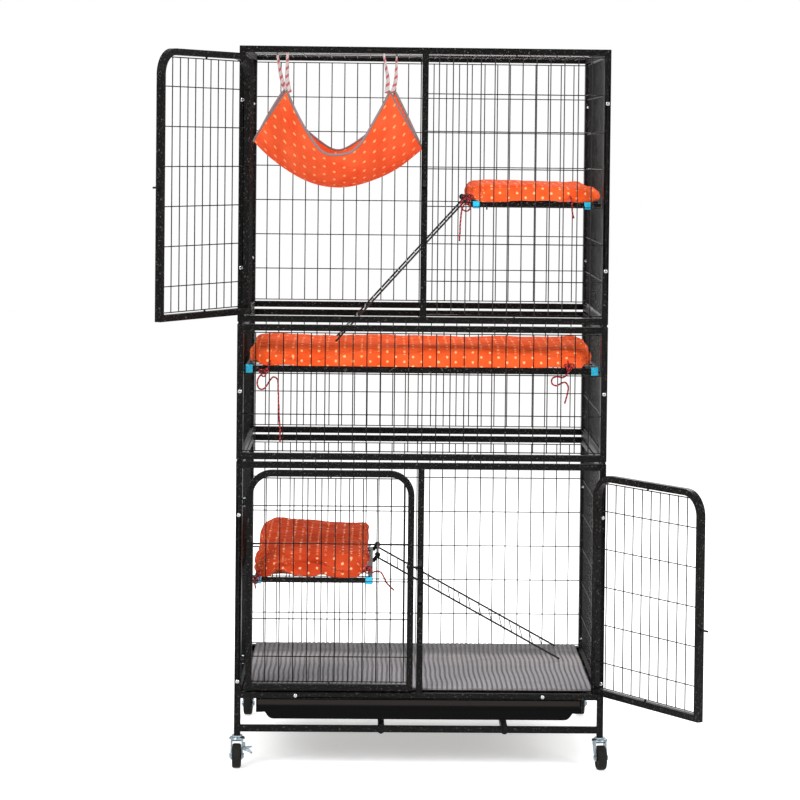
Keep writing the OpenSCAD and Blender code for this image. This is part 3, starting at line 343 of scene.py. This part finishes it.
def dotted_fleece(name, low, high, dots):
    """Printed polyester fleece: orange between two tones, with soft round dots 7 mm wide in staggered
    columns, 20 mm apart, and a fluffy nap drawn at about 1.6 mm so that it shows."""
    made, tree, shader = material(name, {"Roughness": 0.95, "IOR": 1.45, "Specular IOR Level": 0.15})
    pitch, dot = (0.0354, 0.0204, 1.0), 0.0072
    spread = add(tree, "Attribute", {"attribute_name": "cloth"}).outputs["Vector"]
    fuzz = add(tree, "TexNoise", {"Scale": 1 / 0.003, "Detail": 3.0}, {"Vector": spread}).outputs[1]
    shift = add(tree, "VectorMath", {"operation": "SCALE", "Scale": 0.003}, {0: fuzz}).outputs[0]
    soft = add(tree, "VectorMath", {"operation": "ADD"}, {0: spread, 1: shift}).outputs[0]
    near = []
    for place in ((0.5, 0.5, 0), (1.0, 1.0, 0)):
        cell = soft
        for kind, value in (("DIVIDE", pitch), ("ADD", place), ("FRACTION", (0, 0, 0)),
                            ("SUBTRACT", (0.5, 0.5, 0)), ("MULTIPLY", pitch)):
            cell = add(tree, "VectorMath", {"operation": kind, 1: value}, {0: cell}).outputs[0]
        near.append(add(tree, "VectorMath", {"operation": "LENGTH"}, {0: cell}).outputs["Value"])
    closest = add(tree, "Math", {"operation": "MINIMUM"}, {0: near[0], 1: near[1]}).outputs[0]
    wide = add(tree, "Math", {"operation": "DIVIDE", 1: dot}, {0: closest}).outputs[0]
    fluff = grains(tree, 0.0016, 4.0, Roughness=0.7)
    raise_by(tree, shader, fluff, 0.0006, 0.55)
    worn = add(tree, "TexNoise", {"Scale": 1 / 0.05, "Detail": 3.0}, {"Vector": spread}).outputs[0]
    tone = ramp(tree, worn, [(0.3, low), (0.7, high)])
    tufts = ramp(tree, fluff, [(0.25, "#d6d6d6"), (0.6, "#ffffff")])
    ground = add(tree, "Mix", {"data_type": "RGBA", "blend_type": "MULTIPLY", 0: 1.0}, {6: tone, 7: tufts})
    inside = ramp(tree, wide, [(0.3, 1.0), (0.48, 0.0)])
    final = add(tree, "Mix", {"data_type": "RGBA"}, {0: inside, 6: ground.outputs[2]})
    final.inputs[7].default_value = linear(dots)
    tree.links.new(final.outputs[2], shader.inputs["Base Color"])
    return made


def lining_cloth():
    """Woven polyester lining: mid grey, with threads drawn 1.2 mm apart."""
    made, tree, shader = material("woven_polyester_lining", {"Roughness": 0.85, "Sheen Weight": 0.1})
    threads = grains(tree, 0.0012)
    drive(tree, shader, "Base Color", threads, [(0.3, "#6d6a6f"), (0.7, "#96939a")])
    raise_by(tree, shader, threads, 0.0003, 0.5)
    return made


def striped(name, base, other, pitch, share, sheen):
    """Woven or braided polyester: the second colour takes a share of every pitch metres of its run."""
    made, tree, shader = material(name, {"Roughness": 0.8, "Sheen Weight": sheen})
    run = add(tree, "Attribute", {"attribute_name": "run"}).outputs["Vector"]
    length, around, _ = add(tree, "SeparateXYZ", links={0: run}).outputs
    lean = add(tree, "Math", {"operation": "MULTIPLY_ADD", 1: 1 / pitch}, {0: length, 2: around}).outputs[0]
    turn = add(tree, "Math", {"operation": "FRACT"}, {0: lean}).outputs[0]
    drive(tree, shader, "Base Color", turn,
          [(0.0, base), (1 - share - 0.04, base), (1 - share, other), (0.97, other)])
    raise_by(tree, shader, grains(tree, 0.0011), 0.0003, 0.6)
    return made


finishes = {"frame_coat": hammertone(), "wire_coat": coated_wire(), "latch_steel": black_steel(),
            "zinc": zinc_plate(), "chrome": chrome_plate(), "mat": mat_vinyl(), "tray": tray_plastic(),
            "clip": clip_plastic(), "wheel": tyre_rubber(),
            "cushion_cloth": dotted_fleece("printed_polyester_fleece", "#e24e1e", "#ee602f", "#fdb67e"),
            "strap_web": striped("woven_candy_webbing", "#bdb4b1", "#b0525c", 0.017, 0.36, 0.1),
            "tie_cord": striped("braided_polyester_cord", "#b8151c", "#0d090a", 0.008, 0.45, 0.0)}
hung_fleece = dotted_fleece("printed_polyester_fleece_hung", "#f1532a", "#fb683c", "#ffab6c")
# painted shade: a darker copy of the printed fleece for the lower cushion, standing in for the shade beneath
# the shelves above
shaded_fleece = dotted_fleece("printed_polyester_fleece_painted_shade", "#b63819", "#cc4a26", "#efb084")
lining = lining_cloth()
piping = striped("stitched_grey_binding", "#777170", "#9c5f60", 0.006, 0.2, 0.05)


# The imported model's own pieces: each gets its finish, eased edges and smooth wires

edge_angle = math.radians(62)
slot_of = {row["node"]: row["material_slot"] for row in frame["record"]["subparts"]}
edge_of = {"frame_coat": 0.0011, "zinc": 0.0004, "tray": 0.0012, "clip": 0.0007, "latch_steel": 0.0004,
           "wheel": 0.0007, "chrome": 0.0002}
for name, piece in frame["nodes"].items():
    piece.data.materials.clear()
    piece.data.materials.append(finishes[slot_of[name]])
    piece.data.polygons.foreach_set("use_smooth", [True] * len(piece.data.polygons))
    join = piece.modifiers.new("join", "WELD")
    join.merge_threshold = 0.00002
    width = edge_of.get(slot_of[name])
    if width:
        ease = piece.modifiers.new("eased_edges", "BEVEL")
        ease.width = width
        ease.segments = 2
        ease.limit_method = "ANGLE"
        ease.angle_limit = edge_angle
    flats = piece.modifiers.new("flats", "WEIGHTED_NORMAL")
    flats.keep_sharp = True


# Tie cords

cord_r, knot_r = 0.0017, 0.0016


def bow_knot(name, at):
    """Small knot drawn from the cord itself: three loops about 9 mm long, crossed over each other."""
    turns = np.arange(72) * math.pi / 36
    loops = [at + np.array([0.0034 * (math.sin(t) + 2 * math.sin(2 * t)), -0.0022 * math.sin(3 * t) - 0.002,
                            0.0028 * (math.cos(t) - 2 * math.cos(2 * t))]) for t in turns]
    return dress(sweep(name, loops, circle(knot_r, 8), closed=True), [finishes["tie_cord"]])


def tie_cords(node, knots, paths):
    """The two ends that hang at a cushion's front corners, each along points in millimetres and knotted at
    a share of its length, or not at all."""
    for side, share, points in zip(("first", "second"), knots, paths):
        line = eased([(x / 1000, y / 1000, z / 1000) for x, y, z in points], 0.003)
        piece = sweep(f"{node}_{side}_cord", line, circle(cord_r, 12))
        dress(piece, [finishes["tie_cord"]], stands_for=(node,))
        knot = [bow_knot(f"{node}_{side}_knot", line[int(share * len(line))])] if share else []


tie_cords("upper_tie", (0.2, 0), [
    [(120, -202, 1187), (105, -216, 1184), (95, -227, 1180), (87, -236, 1176), (80, -244, 1172),
     (76, -252, 1164), (79, -256, 1154), (88, -258, 1150), (95, -256, 1156), (93, -252, 1165),
     (84, -248, 1164), (79, -247, 1155), (77, -248, 1144), (76, -250, 1132), (75, -251, 1120),
     (75, -252, 1108), (74, -252, 1096), (74, -252, 1088)],
    [(298, -212, 1184), (302, -224, 1183), (304, -235, 1179), (306, -243, 1171), (306, -247, 1160),
     (307, -248, 1148), (310, -248, 1137)]])
tie_cords("middle_tie", (0.2, 0.2), [
    [(-312, -216, 847), (-313, -228, 844), (-315, -239, 836), (-317, -249, 826), (-323, -254, 817),
     (-331, -256, 810), (-338, -256, 801), (-340, -256, 790), (-336, -256, 780), (-327, -256, 779),
     (-320, -256, 787), (-314, -256, 797), (-307, -256, 804), (-299, -256, 800), (-297, -256, 789),
     (-297, -256, 777), (-296, -256, 765), (-296, -256, 753), (-295, -256, 741), (-295, -256, 729),
     (-294, -256, 717), (-293, -256, 705), (-292, -256, 693), (-292, -256, 681), (-292, -256, 669)],
    [(300, -216, 847), (301, -228, 844), (303, -239, 836), (304, -248, 825), (299, -254, 814),
     (290, -256, 808), (279, -256, 810), (269, -256, 806), (268, -256, 796), (277, -256, 791),
     (287, -256, 796), (296, -256, 798), (302, -256, 789), (301, -256, 777), (298, -256, 765),
     (295, -256, 754)]])
tie_cords("lower_tie", (0.2, 0.7), [
    [(-122, -202, 409), (-111, -215, 403), (-100, -229, 397), (-92, -236, 400), (-82, -238, 399),
     (-75, -238, 389), (-70, -238, 378), (-62, -238, 369), (-53, -238, 361)],
    [(-316, -204, 409), (-326, -218, 404), (-334, -231, 397), (-339, -240, 387), (-342, -241, 375),
     (-340, -241, 363)]])


# Cushions: stuffed fleece bags, blown up by simulated cloth

def evaluated(piece):
    """The piece's points and faces with its modifiers."""
    shown = piece.evaluated_get(bpy.context.evaluated_depsgraph_get())
    return bpy.data.meshes.new_from_object(shown)


swell, pull = 0.005, 0.003


def lumpy_box(node):
    """Cells of a cushion before it is filled: rounded in plan, swell metres in from its box all round, and
    drawn in between its corners by pull metres."""
    cell, layers, roundness = 0.012, 4, 9
    low, high = [np.array(p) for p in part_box(node)]
    middle, half = (low + high) / 2, (high - low) / 2
    n = [max(6, round(2 * h / cell)) for h in half]
    n[2] = layers
    points, faces, index = [], [], {}
    for axis in range(3):
        a, b = [k for k in range(3) if k != axis]
        for end in (-1, 1):
            for i in range(n[a]):
                for j in range(n[b]):
                    corner = []
                    for u, v in ((i, j), (i + 1, j), (i + 1, j + 1), (i, j + 1)):
                        p = [0, 0, 0]
                        p[axis], p[a], p[b] = end, 2 * u / n[a] - 1, 2 * v / n[b] - 1
                        key = tuple(round(q, 5) for q in p)
                        if key not in index:
                            index[key] = len(points)
                            points.append(p)
                        corner.append(index[key])
                    faces.append(corner if (end > 0) == (axis != 1) else corner[::-1])
    p = np.array(points, float)
    reach = 1 / (np.abs(p[:, 0]) ** roundness + np.abs(p[:, 1]) ** roundness + 1e-9) ** (1 / roundness)
    inside = np.maximum(np.abs(p[:, 0]), np.abs(p[:, 1]))
    p[:, :2] *= np.minimum(reach * inside, 1.0)[:, None]
    drawn = 1 - pull / half[:2] * (1 - p[:, 1::-1] ** 4)
    rim = np.clip((inside - 0.86) / 0.14, 0, 1) ** 2
    p[:, 2] *= 1 - np.where(p[:, 2] > 0, 0.3, 0.12) * rim
    p[:, :2] *= drawn * (1 - swell / half[:2])
    p[:, 2] *= 1 - swell / half[2] * 0.6
    return low, middle, half, middle + p * half, faces


def places(piece):
    """Where the piece's points are."""
    spots = np.zeros(len(piece.data.vertices) * 3, np.float32)
    piece.data.vertices.foreach_get("co", spots)
    return spots.reshape(-1, 3).copy()


def normals(piece):
    """Which way the surface faces at the piece's points."""
    ways = np.zeros(len(piece.data.vertices) * 3, np.float32)
    piece.data.vertices.foreach_get("normal", ways)
    return ways.reshape(-1, 3)


def rumple(spots, seed, scale):
    """Noise at each place, stretched along X, Y and Z by scale in metres."""
    return np.array([noise.noise(q) for q in (spots / scale + seed)])


def fill(piece):
    """Blows the bag up: 20 frames of cloth under pressure from inside."""
    frames = 20
    cloth = piece.modifiers.new("cloth", "CLOTH")
    cloth.settings.quality = 5
    cloth.settings.mass = 0.3
    cloth.settings.tension_stiffness = 15
    cloth.settings.compression_stiffness = 10
    cloth.settings.bending_stiffness = 0.35
    cloth.settings.use_pressure = True
    cloth.settings.uniform_pressure_force = 4
    cloth.settings.effector_weights.gravity = 0
    cloth.settings.shrink_min = -0.03
    cloth.collision_settings.use_collision = False
    cloth.point_cache.frame_start = 1
    cloth.point_cache.frame_end = frames
    for step in range(1, frames + 1):
        bpy.context.scene.frame_set(step)
    piece.data = evaluated(piece)
    piece.modifiers.clear()
    bpy.context.scene.frame_set(1)


def droop(end, low, middle, half, clips):
    """Laps the front edge forward and down over the shelf's front tube, less over the tube's clips."""
    lower = np.clip(1 - (end[:, 2] - low[2]) / half[2], 0, 1)
    posts = np.arange(low[0], low[0] + 2 * half[0], 0.01)
    under = end[end[:, 2] < middle[2]]
    faces_at = [under[np.abs(under[:, 0] - x) < 0.014, 1].min() for x in posts]
    lap = np.interp(end[:, 0], posts, faces_at) - low[1]
    end[:, 1] -= (lap + 0.002) * lower * np.clip((low[1] + lap + 0.014 - end[:, 1]) / 0.006, 0, 1)
    front = np.clip((low[1] + 0.0075 - end[:, 1]) / 0.002, 0, 1)
    clip_half, fall, over_clip, over_tube = 0.0095, 0.012, 0.0014, 0.0040
    clipped = np.min([np.abs(end[:, 0] - x) for x in clips], axis=0) < clip_half
    end[:, 2] -= fall * front * np.clip(1 - (end[:, 2] - low[2]) / (1.6 * half[2]), 0, 1)
    floor = low[2] + 0.0002 - np.where(clipped, over_clip, over_tube) * front
    end[:, 2] = np.maximum(end[:, 2], floor)


def lay_print(piece, end, middle):
    """Lays the printed cloth flat on top, and on down the sides."""
    spread = end - middle
    reach = np.abs(spread[:, :2]).max(axis=0)
    down = (end[:, 2].max() - end[:, 2])[:, None]
    turned = np.clip((np.abs(normals(piece)[:, :2]) - 0.35) / 0.3, 0, 1)
    laid = end[:, :2] + np.sign(spread[:, :2]) * turned * (reach - np.abs(spread[:, :2]) + down)
    mark(piece, "cloth", np.column_stack([laid, 0 * down]))


def cushion(name, node, cloth, cap, creases, slope, clips, lumps, flare=0.0, grey_end=None):
    """A stuffed bag in the node's box, in metres: cap is the most that filling adds, creases how wrinkled
    it is, slope how far its top falls to the front, clips where its shelf's clips stand, lumps are
    (x, y, width, lift), flare is how far its lower left edge spreads, and from x = grey_end on its
    right side shows the lining."""
    low, middle, half, points, faces = lumpy_box(node)
    piece = mesh_piece(name, points, faces)
    grid = piece.modifiers.new("even_cells", "REMESH")
    grid.mode = "VOXEL"
    grid.voxel_size = 0.005
    piece.data = evaluated(piece)
    piece.modifiers.clear()

    # gathers at the rim, broad waves, long creases and fine wrinkles, least underneath
    start, out = places(piece), normals(piece)
    off = np.abs((start - middle) / half)
    rim = np.clip((np.maximum(off[:, 0], off[:, 1]) - 0.7) / 0.3, 0, 1)
    upper = np.clip((start[:, 2] - middle[2]) / half[2] + 0.8, 0, 1)
    seed = middle * 7
    gather = rumple(start, seed, (0.038, 0.038, 0.017)) * (0.3 + rim)
    broad = rumple(start, seed + 3, (0.11, 0.11, 0.08))
    crease = 1 - np.clip(6 * np.abs(rumple(start, seed + 5, (0.13, 0.030, 0.045))), 0, 1)
    fine = rumple(start, seed + 9, (0.10, 0.011, 0.014))
    relief = 0.0022 * gather + 0.003 * broad + creases * (0.0016 * fine - 0.0035 * crease)
    start += out * (relief * upper)[:, None]
    for x, y, wide, lift in lumps:
        away = np.hypot((start[:, 0] - x) / wide, (start[:, 1] - y) / (1.6 * wide))
        start[:, 2] += lift * np.exp(-away ** 2) * np.clip(upper - 0.3, 0, 1)
    front_part = 0.14
    start[:, 2] -= slope * upper * np.clip(1 - (start[:, 1] - low[1]) / front_part, 0, 1) ** 2
    piece.data.vertices.foreach_set("co", start.ravel())
    fill(piece)

    # the filling moves no point by more than the cap, and the bag keeps its box in plan
    end = places(piece)
    move = end - start
    length = np.maximum(np.linalg.norm(move, axis=1), 1e-9)
    end = start + move * (np.minimum(length, cap) / length)[:, None]
    fitting = (half - 0.001) / np.abs(end - middle).max(axis=0)
    end[:, :2] = middle[:2] + (end - middle)[:, :2] * fitting[:2]
    piece.data.vertices.foreach_set("co", end.ravel())
    piece.data.update()
    end += normals(piece) * (creases * (0.0012 * fine - 0.0028 * crease) * upper)[:, None]
    droop(end, low, middle, half, clips)
    lower = np.clip(1.2 - (end[:, 2] - low[2]) / (1.3 * half[2]), 0, 1)
    end[:, 0] -= flare * lower * np.clip((middle[0] - end[:, 0]) / half[0] * 3 - 2, 0, 1)
    piece.data.vertices.foreach_set("co", end.ravel())
    piece.data.polygons.foreach_set("use_smooth", [True] * len(piece.data.polygons))
    lay_print(piece, end, middle)
    for face in piece.data.polygons:
        beneath = face.normal.z < -0.7 and face.center.z < low[2] + 0.002
        side = grey_end and face.normal.x > 0.5 and face.center.x > grey_end and face.center.z < middle[2]
        face.material_index = 1 if beneath or side else 0
    finer = piece.modifiers.new("finer", "SUBSURF")
    finer.levels = finer.render_levels = 1
    dress(piece, [cloth, lining], stands_for=(node,))


cushion("upper_cushion_pad", "upper_cushion", finishes["cushion_cloth"], 0.008, 0.6, 0.005, (0.1085, 0.3395),
        [(0.130, -0.150, 0.045, 0.003), (0.230, -0.100, 0.300, -0.006), (0.340, -0.120, 0.110, -0.008)])
cushion("middle_cushion_pad", "middle_cushion", finishes["cushion_cloth"], 0.008, 1.2, 0.010,
        (-0.3575, 0.3575),
        [(-0.320, -0.060, 0.050, 0.009), (0.332, 0.010, 0.024, 0.014), (0.342, -0.140, 0.020, 0.006),
         (0.290, -0.060, 0.028, -0.006), (-0.210, -0.080, 0.040, -0.005), (0.120, -0.080, 0.140, -0.004)])
# the lower cushion takes the darker copy of the fleece, its painted shade
cushion("lower_cushion_pad", "lower_cushion", shaded_fleece, 0.010, 1.6, 0.018, (-0.336, -0.106),
        [(-0.300, 0.150, 0.050, 0.012), (-0.150, 0.150, 0.060, -0.007), (-0.120, 0.210, 0.020, 0.006),
         (-0.330, -0.200, 0.025, -0.010)], flare=0.010, grey_end=-0.115)


# Hammock: a padded square of fleece hung by its corners, bound in grey at its hems

middle_x, middle_y, corner_z, low_z = -0.180, -0.080, 1.400, 1.197


def three(u, a, b, c):
    """Curve through a at u = -1, b at 0 and c at 1."""
    return a * u * (u - 1) / 2 + b * (1 - u * u) + c * u * (u + 1) / 2


def sheet_point(u, v):
    """Place on the hung cloth, with u to the right and v to the back, each from -1 to 1."""
    out = three(v, 0.107, 0.178, 0.120)
    side = three(v, corner_z, corner_z - 0.114 - 0.007 * u, corner_z)
    belly = three(v, corner_z - 0.138, low_z, corner_z - 0.124)
    p = Vector((middle_x + u * out, middle_y + 0.1 * v, three(u, side, belly, side)))
    edge = max(abs(u), abs(v))
    # folds that run from each corner down into the belly, and a slack wave along the hems
    fan = math.atan2(1.02 - abs(v), 1.02 - abs(u))
    pull = math.hypot(1 - abs(u), 1 - abs(v))
    fold = math.sin(7 * fan + 2 * u) * math.exp(-1.4 * pull) * min(1, 3 * pull)
    p.z += 0.004 * fold + 0.0025 * math.sin(9 * u + 5 * v) * edge ** 3
    p.y += 0.003 * math.sin(6 * u + 1) * abs(v) ** 4
    return p


def hammock():
    """The cloth, with its print laid out round as seen from the front, and its binding."""
    n = 56
    print_x, print_y = 0.86, 0.95
    hem_r, hem_squeeze, hem_drop, least_cut = 0.0036, 0.75, 0.0015, 0.26
    points = [sheet_point(2 * i / n - 1, 2 * j / n - 1) for i in range(n + 1) for j in range(n + 1)]
    faces = [(i * (n + 1) + j, i * (n + 1) + j + 1, (i + 1) * (n + 1) + j + 1, (i + 1) * (n + 1) + j)
             for i in range(n) for j in range(n)]
    cloth = mesh_piece("hammock_cloth", points, faces)
    grid = np.array(points).reshape(n + 1, n + 1, 3)
    belly = np.interp(grid[:, :, 0], grid[:, n // 2, 0], grid[:, n // 2, 2])
    deep = np.hypot(grid[:, :, 1] - middle_y, grid[:, :, 2] - belly) * np.sign(grid[:, :, 1] - middle_y)
    mark(cloth, "cloth", np.stack([print_x * grid[:, :, 0], print_y * deep, 0 * deep], 2).reshape(-1, 3))
    pad = cloth.modifiers.new("padding", "SOLIDIFY")
    pad.thickness = 0.003
    pad.offset = 1
    finer = cloth.modifiers.new("finer", "SUBSURF")
    finer.levels = finer.render_levels = 1
    dress(cloth, [hung_fleece], stands_for=("hammock",))
    rim = [(i, 0) for i in range(n)] + [(n, j) for j in range(n)]
    rim += [(i, n) for i in range(n, 0, -1)] + [(0, j) for j in range(n, 0, -1)]
    line = [grid[i, j] - (0, 0, hem_drop) for i, j in rim]
    hem = sweep("hammock_binding", line, circle(hem_r, 8, hem_squeeze), closed=True)
    dress(hem, [piping])


hammock()


# Straps: a doubled band of candy-striped webbing from each corner to a wire ring on the roof wires

def straps():
    """The four bands and their rings, each ring around the roof wire of that number from the middle."""
    step, roof, wire_r, ring_r = 0.0286, 1.479, 0.001, 0.0024
    half_width, half_thick, twist = 0.0045, 0.0011, math.radians(70)
    flat = [(half_width * math.cos(a), half_thick * math.sin(a)) for a in np.arange(12) * math.pi / 6]
    bands = []
    for i, j, wire in ((-1, -1, -10), (-1, 1, -11), (1, -1, -3), (1, 1, -2)):
        foot = sheet_point(i, j)
        top = Vector((wire * step, foot.y, roof - ring_r - wire_r))
        line = [foot + Vector((-i * 0.006, 0, -0.006)), foot.lerp(top, 0.3), foot.lerp(top, 0.7), top]
        line = eased([tuple(p) for p in line], 0.004)
        sections = []
        for k in range(len(line)):
            turn = twist * k / len(line) * i
            cos, sin = math.cos(turn), math.sin(turn)
            sections.append([(a * cos - b * sin, a * sin + b * cos) for a, b in flat])
        side = "left" if i < 0 else "right"
        end = "front" if j < 0 else "rear"
        band = sweep(f"hammock_strap_{side}_{end}", line, np.array(sections))
        dress(band, [finishes["strap_web"]])
        ring = [(wire * step + ring_r * math.cos(a), foot.y, roof + ring_r * math.sin(a))
                for a in np.arange(24) * math.pi / 12]
        loop = sweep(f"hammock_ring_{side}_{end}", ring, circle(wire_r, 8), closed=True)
        dress(loop, [finishes["chrome"]])
        bands.append(band)
    return bands


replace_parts(straps()[0], "hammock_straps")


# Floor mat: soft ribbed vinyl with ribs from front to back

def floor_mat():
    """A closed sheet in the node's box, slightly bent and wavy, its rib height, darkening towards the back
    and band of painted reflection marked.
    """
    low, high = [Vector(p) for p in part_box("floor_mat")]
    pitch, rib_height, sunk, bending, flat_edge, rows = 0.0104, 0.0012, 0.0016, 0.0035, 0.03, 60
    # first pair: where the mat starts turning darker towards the back, and over what share of its depth;
    # second pair: where the pale band of painted reflection lies, and its half width
    back_dark_from, back_dark_over, painted_reflection_at, painted_reflection_half = 0.72, 0.08, 0.62, 0.13
    ribs = int((high.x - low.x - 0.004) / pitch)
    left = (low.x + high.x) / 2 - ribs * pitch / 2
    steps = [(0.0, 0.0), (0.14, 0.0), (0.28, 1.0), (0.76, 1.0), (0.9, 0.0)]
    xs = [(left + (k + f) * pitch, h) for k in range(ribs) for f, h in steps] + [(left + ribs * pitch, 0.0)]
    points, marks = [], []
    for r in range(rows + 1):
        back = r / rows
        for x, h in xs:
            y = low.y + 0.001 + (high.y - low.y - 0.002) * back
            inward = min(1, (x - low.x) / flat_edge, (high.x - x) / flat_edge, (high.y - y) / flat_edge)
            bend = bending * noise.noise((x * 5, y * 9, 2.2)) * inward
            slow, fast = noise.noise((x * 9, y * 14, 0.4)), noise.noise((x * 40, y * 30, 7))
            wave = 0.0011 * (0.4 + slow) + 0.0006 * fast
            points.append((x + bend, y, high.z - sunk + rib_height * h + wave))
            # painted reflection: the pale band across the mat, patchy
            band = max(0, 1 - abs(back - painted_reflection_at) / painted_reflection_half) ** 0.5
            band *= 0.7 + noise.noise((x * 30, y * 60, 5))
            marks.append((h, min(1, max(0, (back - back_dark_from) / back_dark_over)), min(1, max(0, band))))
    n = len(xs)
    faces = [(r * n + k, r * n + k + 1, (r + 1) * n + k + 1, (r + 1) * n + k)
             for r in range(rows) for k in range(n - 1)]
    edge = list(range(n)) + [r * n + n - 1 for r in range(1, rows + 1)]
    edge += [rows * n + k for k in range(n - 2, -1, -1)] + [r * n for r in range(rows - 1, 0, -1)]
    base = len(points)
    for k in edge:
        points.append((points[k][0], points[k][1], low.z))
        marks.append((0.6, marks[k][1], 0))
    m = len(edge)
    faces += [(edge[k], base + k, base + (k + 1) % m, edge[(k + 1) % m]) for k in range(m)]
    faces.append([base + k for k in range(m)][::-1])
    piece = mesh_piece("ribbed_floor_mat", points, faces, smooth=False)
    mark(piece, "rib", marks)
    dress(piece, [finishes["mat"]], stands_for=("floor_mat",))


floor_mat()


# Studio: pale floor, white surround, soft lights

def studio():
    """Everything around the cage, with plain levels."""
    floor = mesh_piece("studio_floor", [(-12, -9, 0), (12, -9, 0), (12, 14, 0), (-12, 14, 0)], [(0, 1, 2, 3)])
    made = bpy.data.materials.new("pale_paper_floor")
    made.use_nodes = True
    tree = made.node_tree
    tree.nodes.clear()
    paper = add(tree, "BsdfDiffuse", {"Color": (0.86, 0.86, 0.86, 1)})
    glow = add(tree, "Emission", {"Color": (1.0, 0.985, 0.975, 1)})
    seen = add(tree, "LightPath")
    either = add(tree, "Math", {"operation": "MAXIMUM"}, {0: seen.outputs["Is Camera Ray"],
                                                        1: seen.outputs["Is Glossy Ray"]})
    lit = add(tree, "Math", {"operation": "MULTIPLY", 1: 0.45}, {0: either.outputs[0]})
    tree.links.new(lit.outputs[0], glow.inputs["Strength"])
    both = add(tree, "AddShader", links={0: paper.outputs[0], 1: glow.outputs[0]})
    add(tree, "OutputMaterial", links={"Surface": both.outputs[0]})
    floor.data.materials.append(made)

    world = bpy.data.worlds.new("studio")
    bpy.context.scene.world = world
    world.use_nodes = True
    tree = world.node_tree
    tree.nodes.clear()
    seen = add(tree, "LightPath")
    direct = add(tree, "Math", {"operation": "MAXIMUM"}, {0: seen.outputs["Is Camera Ray"],
                                                        1: seen.outputs["Is Transmission Ray"]})
    power = add(tree, "Math", {"operation": "MULTIPLY_ADD", 1: 0.35, 2: 0.65}, {0: direct.outputs[0]})
    glow = add(tree, "Background", {"Color": (1, 1, 1, 1)}, {"Strength": power.outputs[0]})
    add(tree, "OutputWorld", links={"Surface": glow.outputs[0]})

    for name, place, aim, size, power in (("key", (-2.6, -3.6, 3.6), (0, 0, 0.8), 2.4, 200),
                                          ("fill", (3.0, -3.2, 2.8), (0, 0, 0.7), 2.2, 130),
                                          ("rim", (0.6, 3.4, 3.2), (0, 0, 1.0), 2.0, 110)):
        data = bpy.data.lights.new(name, "AREA")
        data.size = size
        data.energy = power
        lamp = bpy.data.objects.new(name, data)
        lamp.location = place
        lamp.rotation_euler = (Vector(aim) - Vector(place)).to_track_quat("-Z", "Y").to_euler()
        bpy.context.scene.collection.objects.link(lamp)


studio()
bpy.context.scene.view_settings.view_transform = "Standard"
